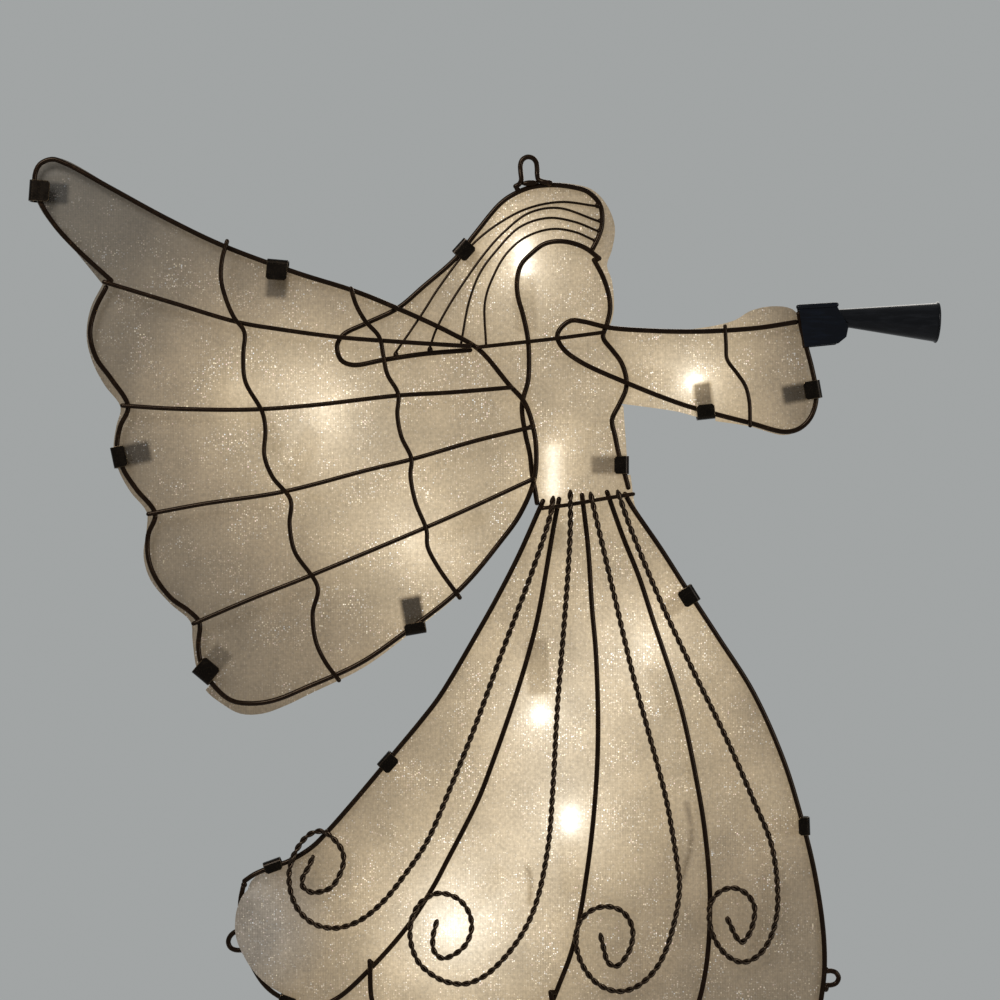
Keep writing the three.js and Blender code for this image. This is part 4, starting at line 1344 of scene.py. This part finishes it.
def glass_look(name):
    """Clear warm glass of a lamp that is lit."""
    look = Look(name)
    streaks = look.noise(GLASS_STREAK, 2)
    look.set(base=GLASS_TINT, rough=0.04, through=0.92, ior=1.47)
    look.set(glow=GLASS_LIGHT, glow_strength=look.span(streaks, GLASS_GLOW * 0.8, GLASS_GLOW * 1.2))
    look.bump(streaks, GRAIN_DEPTH, 0.3)
    return look.material


def filament_look(name):
    look = Look(name)
    heat = look.noise(HEAT_PATCH, 2)
    look.set(base=FILAMENT_TINT, rough=0.5, glow=FILAMENT_LIGHT)
    look.set(glow_strength=look.span(heat, FILAMENT_GLOW * 0.7, FILAMENT_GLOW * 1.3))
    return look.material


def plastic_look(name, colour, darker):
    """Moulded off-white plastic with faint mould marks and dust."""
    look = Look(name)
    dust = look.noise(DUST_SIZE, 4)
    look.set(base=look.ramp(dust, (0.3, darker), (0.7, colour)), specular=0.45)
    look.set(rough=look.span(look.noise(MOULD_MARK, 3), 0.36, 0.55, 0.3, 0.7))
    look.bump(look.noise(MOULD_GRAIN, 3), MOULD_DEPTH, 0.6)
    return look.material


def floor_look(name):
    look = Look(name)
    look.place = look.node("ShaderNodeNewGeometry").outputs["Position"]
    clouds = look.noise(FLOOR_CLOUD, 3)
    look.set(base=look.ramp(clouds, (0.3, FLOOR_COLOUR), (0.7, FLOOR_LIGHTER)), rough=0.8)
    return look.material


# The sheer mesh, and the lamps behind it.
def sheer_look(name):
    """Cream sheer that lets light through: a fine upright weave and glitter, with the lamps' glow, the
    glints and the shade of what stands behind it painted on.
    """
    look = Look(name)
    weave = weave_of(look)
    cloudy = look.noise(CLOUD_SIZE, 4)
    fine = look.noise(FLECK_SIZE, 3)
    tabs, tabs_veil = tab_shade(look)
    shade = tabs * (socket_shade(look) * cord_shade(look))
    tone = look.ramp(weave * 0.12 + fine * 0.28 + cloudy * 0.6, (0.3, MESH_DARK), (0.7, MESH_LIGHT))
    base = look.mix(shade, (0.0, 0.0, 0.0), tone)
    glow, veil = lamp_glow(look)
    glow = glow * shade
    lobe = look.span(gap_to_streak(look, place(LOBE_PIXEL)), 1, 0, LOBE_CORE, LOBE_EDGE)
    amount, tint = glitter(look, lobe)
    glint = amount * (glow * 3.2 + 0.3)
    plain = look.span(look.noise(DRIFT_SIZE, 3), 0.02, 0.16, 0.4, 0.65)
    woven = glow * ((weave + -0.5) * (plain * 2) + 1)
    woven = woven * look.span(fine, 0.78, 1.22, 0.25, 0.75) * look.span(cloudy, 0.85, 1.15, 0.3, 0.7)
    strength = woven + glint
    heat = look.span(glow, 0, 1, 0.0, 2.0)
    hot = look.ramp(heat, (0.0, GLOW_EDGE), (0.3, GLOW_MIDDLE), (1.0, GLOW_HEART))
    # On the skirt's left lobe the painted glow is tinted cooler.
    hot = look.mix(lobe * LOBE_COOL, hot, LOBE_GLOW_TINT)
    shared = look.math("DIVIDE", glint, strength + 0.001)
    # The lamps' light through the mesh and the glitter's glints are painted on as glow.
    look.set(glow=look.mix(shared, hot, tint), glow_strength=strength)
    cover = look.span(fine, MESH_COVER - MESH_UNEVEN, MESH_COVER + MESH_UNEVEN)
    cover = cover + (veil + (tabs_veil + lap_veil(look)) + amount)
    look.set(base=base, rough=0.55, sheen=0.2, alpha=look.span(cover, 0, 1))
    look.bump(weave, WEAVE_DEPTH, 0.3)
    let_light_through(look, base)
    return look.material


def let_light_through(look, colour):
    """Mixes the look with cloth that is lit from behind."""
    cloth = look.node("ShaderNodeBsdfTranslucent", {"Color": colour})
    shaders = {"Fac": MESH_THROUGH, 1: look.shader.outputs["BSDF"], 2: cloth.outputs["BSDF"]}
    mixed = look.node("ShaderNodeMixShader", shaders)
    link(look.tree, mixed.outputs["Shader"], look.tree.nodes["Material Output"].inputs["Surface"])


def weave_of(look):
    """The fine threads of the mesh, upright ones standing out most."""
    wobble = look.noise(WOBBLE_SIZE, 2) * WEAVE_WOBBLE
    axes = look.node("ShaderNodeSeparateXYZ", {0: look.place})
    upright = look.threads(wobble + axes.outputs["X"], WEAVE_PITCH)
    level = look.threads(wobble + axes.outputs["Z"], WEAVE_PITCH)
    return upright * 0.65 + level * 0.35


def glitter(look, lobe):
    """How strongly the glitter catches light, in drifts and on the lobe, and each grain's tint."""
    grains = look.node("ShaderNodeTexVoronoi", {"Vector": look.place, "Scale": 1 / GRAIN_PITCH})
    chance = look.node("ShaderNodeSeparateColor", {"Color": grains.outputs["Color"]}).outputs
    lit = look.math("POWER", look.span(chance["Red"], 0, 1, 0.35, 1.0), 2.2)
    near = look.span(grains.outputs["Distance"], 1, 0, 0.15, 0.5)
    drift = look.span(look.noise(DRIFT_SIZE, 4, 0.6), 0.12, 1, 0.46, 0.66)
    drift = look.math("MAXIMUM", drift, lobe * LOBE_GLITTER)
    return lit * near * drift, look.ramp(chance["Blue"], *GLITTER_TINTS)


def lamp_glow(look):
    """How brightly the lamps behind the mesh show, and how far their glare veils what is behind."""
    axes = look.node("ShaderNodeSeparateXYZ", {0: look.place})
    # Painted glow over the whole mesh, growing towards the bottom.
    total = look.span(axes.outputs["Z"], GLOW_SPREAD, 0, cad_low.z, cad_high.z)
    side = look.fading(gap_to_streak(look, place(SIDE_GLOW_PIXEL)), GLOW_REACH)
    total = side * SIDE_GLOW_LEVEL + total
    veil = 0.0
    for (at, turn, _), (heart, level, streak, _) in zip(LAMPS, LAMP_LIGHTS):
        _, rim, direction = lamp_axis(at, turn)
        middle = rim + direction * (COLLAR_LENGTH + GLASS_LENGTH * GLOW_SHARE)
        gap = gap_to_streak(look, middle, direction * streak)
        square = gap * gap
        spot = look.fading(square, 2 * GLOW_SPOT ** 2) * (GLOW_SPOT_LEVEL * heart)
        halo = look.fading(gap, GLOW_REACH) * (GLOW_HALO_LEVEL * level)
        bloom = look.fading(gap, GLOW_BLOOM) * (GLOW_BLOOM_LEVEL * heart)
        total = bloom + (spot + halo + total)
        veil = look.fading(square, 2 * VEIL_REACH ** 2) * (1 - MESH_COVER) + veil
    return total, veil


def gap_to_streak(look, middle, half=Vector()):
    """How far each point lies from a streak of light: a line from its middle to both its ends."""
    away = look.vector("SUBTRACT", look.place, middle)
    if half.length:
        run = look.vector("DOT_PRODUCT", away, half / half.length_squared)
        kept = look.vector("MULTIPLY", half, look.span(run, -1, 1, -1, 1))
        away = look.vector("SUBTRACT", away, kept)
    return look.vector("LENGTH", away)


def block_behind(look, middle, along, length, width):
    """1 where an upright block stands behind the mesh, falling to 0 over its soft edges."""
    gap = look.vector("SUBTRACT", look.place, middle)
    covered = 1.0
    for direction, size in ((along, length), (along.cross(BACKWARD), width)):
        away = look.math("ABSOLUTE", look.vector("DOT_PRODUCT", gap, direction))
        covered = look.span(away, 1, 0, (size - SHADE_EDGE) / 2, (size + SHADE_EDGE) / 2) * covered
    return covered


def tab_shade(look):
    """The share of light left where the clips' tabs lie behind the mesh, and how far they're veiled."""
    shade = 1.0
    veil = 0.0
    for at, turn, (_, width), _, plain in ALL_CLIPS.values():
        along = heading(turn)
        middle = place(at) + along * (CLIP_TAB / 2 - CLIP_REACH)
        covered = block_behind(look, middle, along, CLIP_TAB, width)
        shade = look.math("MINIMUM", look.span(covered, 1, 1 - plain * (1 - TAB_SHADE)), shade)
        veil = look.math("MAXIMUM", covered * ((1 - plain) * (1 - MESH_COVER)), veil)
    return shade, veil


def lap_veil(look):
    """How far the mesh hides the hem wire that it laps over."""
    middle = place(((LAP_ACROSS[0] + LAP_LEFT) / 2, (LAP_DOWN[0] + LAP_FOOT) / 2))
    length = (LAP_FOOT - LAP_DOWN[0]) * PIXEL
    width = (LAP_ACROSS[0] - LAP_LEFT) * PIXEL
    return block_behind(look, middle, UPWARD, length, width) * (1 - MESH_COVER)


def socket_shade(look):
    """The share of light left where the lamps' sockets lie behind the mesh."""
    left = 1.0
    for (at, turn, _), (*_, shade) in zip(LAMPS, LAMP_LIGHTS):
        middle = place(at, LAMP_DEPTH)
        body = block_behind(look, middle, heading(turn), SOCKET_LENGTH, SOCKET_DIAMETER)
        left = look.math("MINIMUM", look.span(body, 1, shade), left)
    return left


def cord_shade(look):
    """The share of light left where the cord shows through the mesh."""
    covered = 0.0
    for start, end in CORD_SHOWS:
        one, two = place(start), place(end)
        run = two - one
        shown = block_behind(look, (one + two) / 2, run.normalized(), run.length, CORD_SHOWN)
        covered = look.math("MAXIMUM", shown, covered)
    return look.span(covered, 1, CORD_SHADE)


# The scene round the object.
def make_floor():
    size = (cad_high - cad_low).length * FLOOR_SHARE
    bpy.ops.mesh.primitive_plane_add(size=size, location=(0, 0, FLOOR_HEIGHT))
    floor = bpy.context.object
    floor.name = "floor"
    floor.data.materials.append(floor_look("pale_floor"))


def make_world():
    """Plain light from all round. Where the camera, gloss or glass sees it, it is the plain backdrop."""
    world = bpy.data.worlds.new("studio")
    bpy.context.scene.world = world
    world.use_nodes = True
    tree = world.node_tree
    backdrop = tree.nodes["Background"]
    link(tree, (*BACKDROP, 1), backdrop.inputs["Color"])
    ambient = add_node(tree, "ShaderNodeBackground", {"Color": (*AMBIENT, 1), "Strength": AMBIENT_LEVEL})
    seen = add_node(tree, "ShaderNodeLightPath").outputs
    plain = seen["Is Camera Ray"]
    for other in ("Is Glossy Ray", "Is Transmission Ray"):
        either = add_node(tree, "ShaderNodeMath", {0: plain, 1: seen[other]}, operation="MAXIMUM")
        plain = either.outputs[0]
    shaders = {"Fac": plain, 1: ambient.outputs["Background"], 2: backdrop.outputs["Background"]}
    mixed = add_node(tree, "ShaderNodeMixShader", shaders)
    link(tree, mixed.outputs["Shader"], tree.nodes["World Output"].inputs["Surface"])


def make_lights():
    middle = (cad_low + cad_high) / 2
    reach = (cad_high - cad_low).length
    for name, (way, watts, colour) in STUDIO_LAMPS.items():
        away = Vector(way)
        disk = {"shape": "DISK", "size": reach}
        light = new_light(name, "AREA", middle + away * reach, watts, colour, disk)
        light.rotation_euler = away.to_track_quat("Z", "Y").to_euler()


def make_camera():
    camera = bpy.data.cameras.new("camera")
    set_all(camera, {"lens": CAMERA_LENS, "sensor_width": CAMERA_SENSOR})
    middle = place(VIEW_CENTRE_PIXEL)
    away = PIXEL * VIEW_WIDTH_PIXELS * CAMERA_LENS / CAMERA_SENSOR
    eye = new_object("camera", camera, (middle.x, -away, middle.z))
    eye.rotation_euler = (math.pi / 2, 0, 0)
    bpy.context.scene.camera = eye


def main():
    wire = wire_look("dark_bronze_wire", WIRE_SHINE)
    make_wires(wire, wire_look("twisted_dark_wire", TWIST_SHINE))
    for group, members in WELD_GROUPS.items():
        make_welds(group, [name for name in WIRE_RUNS if name.startswith(members)], wire)
    make_solder(wire)
    bronze = clip_look("bronzed_clip")
    for name, clip in ALL_CLIPS.items():
        make_clip(name, clip, bronze)
    make_horn(lacquer_look("gloss_black_lacquer", HORN_BLACK, HORN_STREAK))
    make_bracket(lacquer_look("gloss_navy_lacquer", BRACKET_NAVY, BRACKET_SHEEN))
    sheer = sheer_look("sheer_glitter_mesh")
    for name, pixels in MESH_PIXELS.items():
        make_panel(name, pixels, sheer)
    plastic = plastic_look("holder_plastic", HOLDER_PALE, HOLDER_DARK)
    lead = plastic_look("lead_insulation", LEAD_PALE, LEAD_DARK)
    make_lamps(glass_look("lamp_glass"), plastic, lead, filament_look("filament"))
    make_floor()
    make_world()
    make_lights()
    make_camera()
    bpy.context.scene.view_settings.view_transform = "Standard"


main()
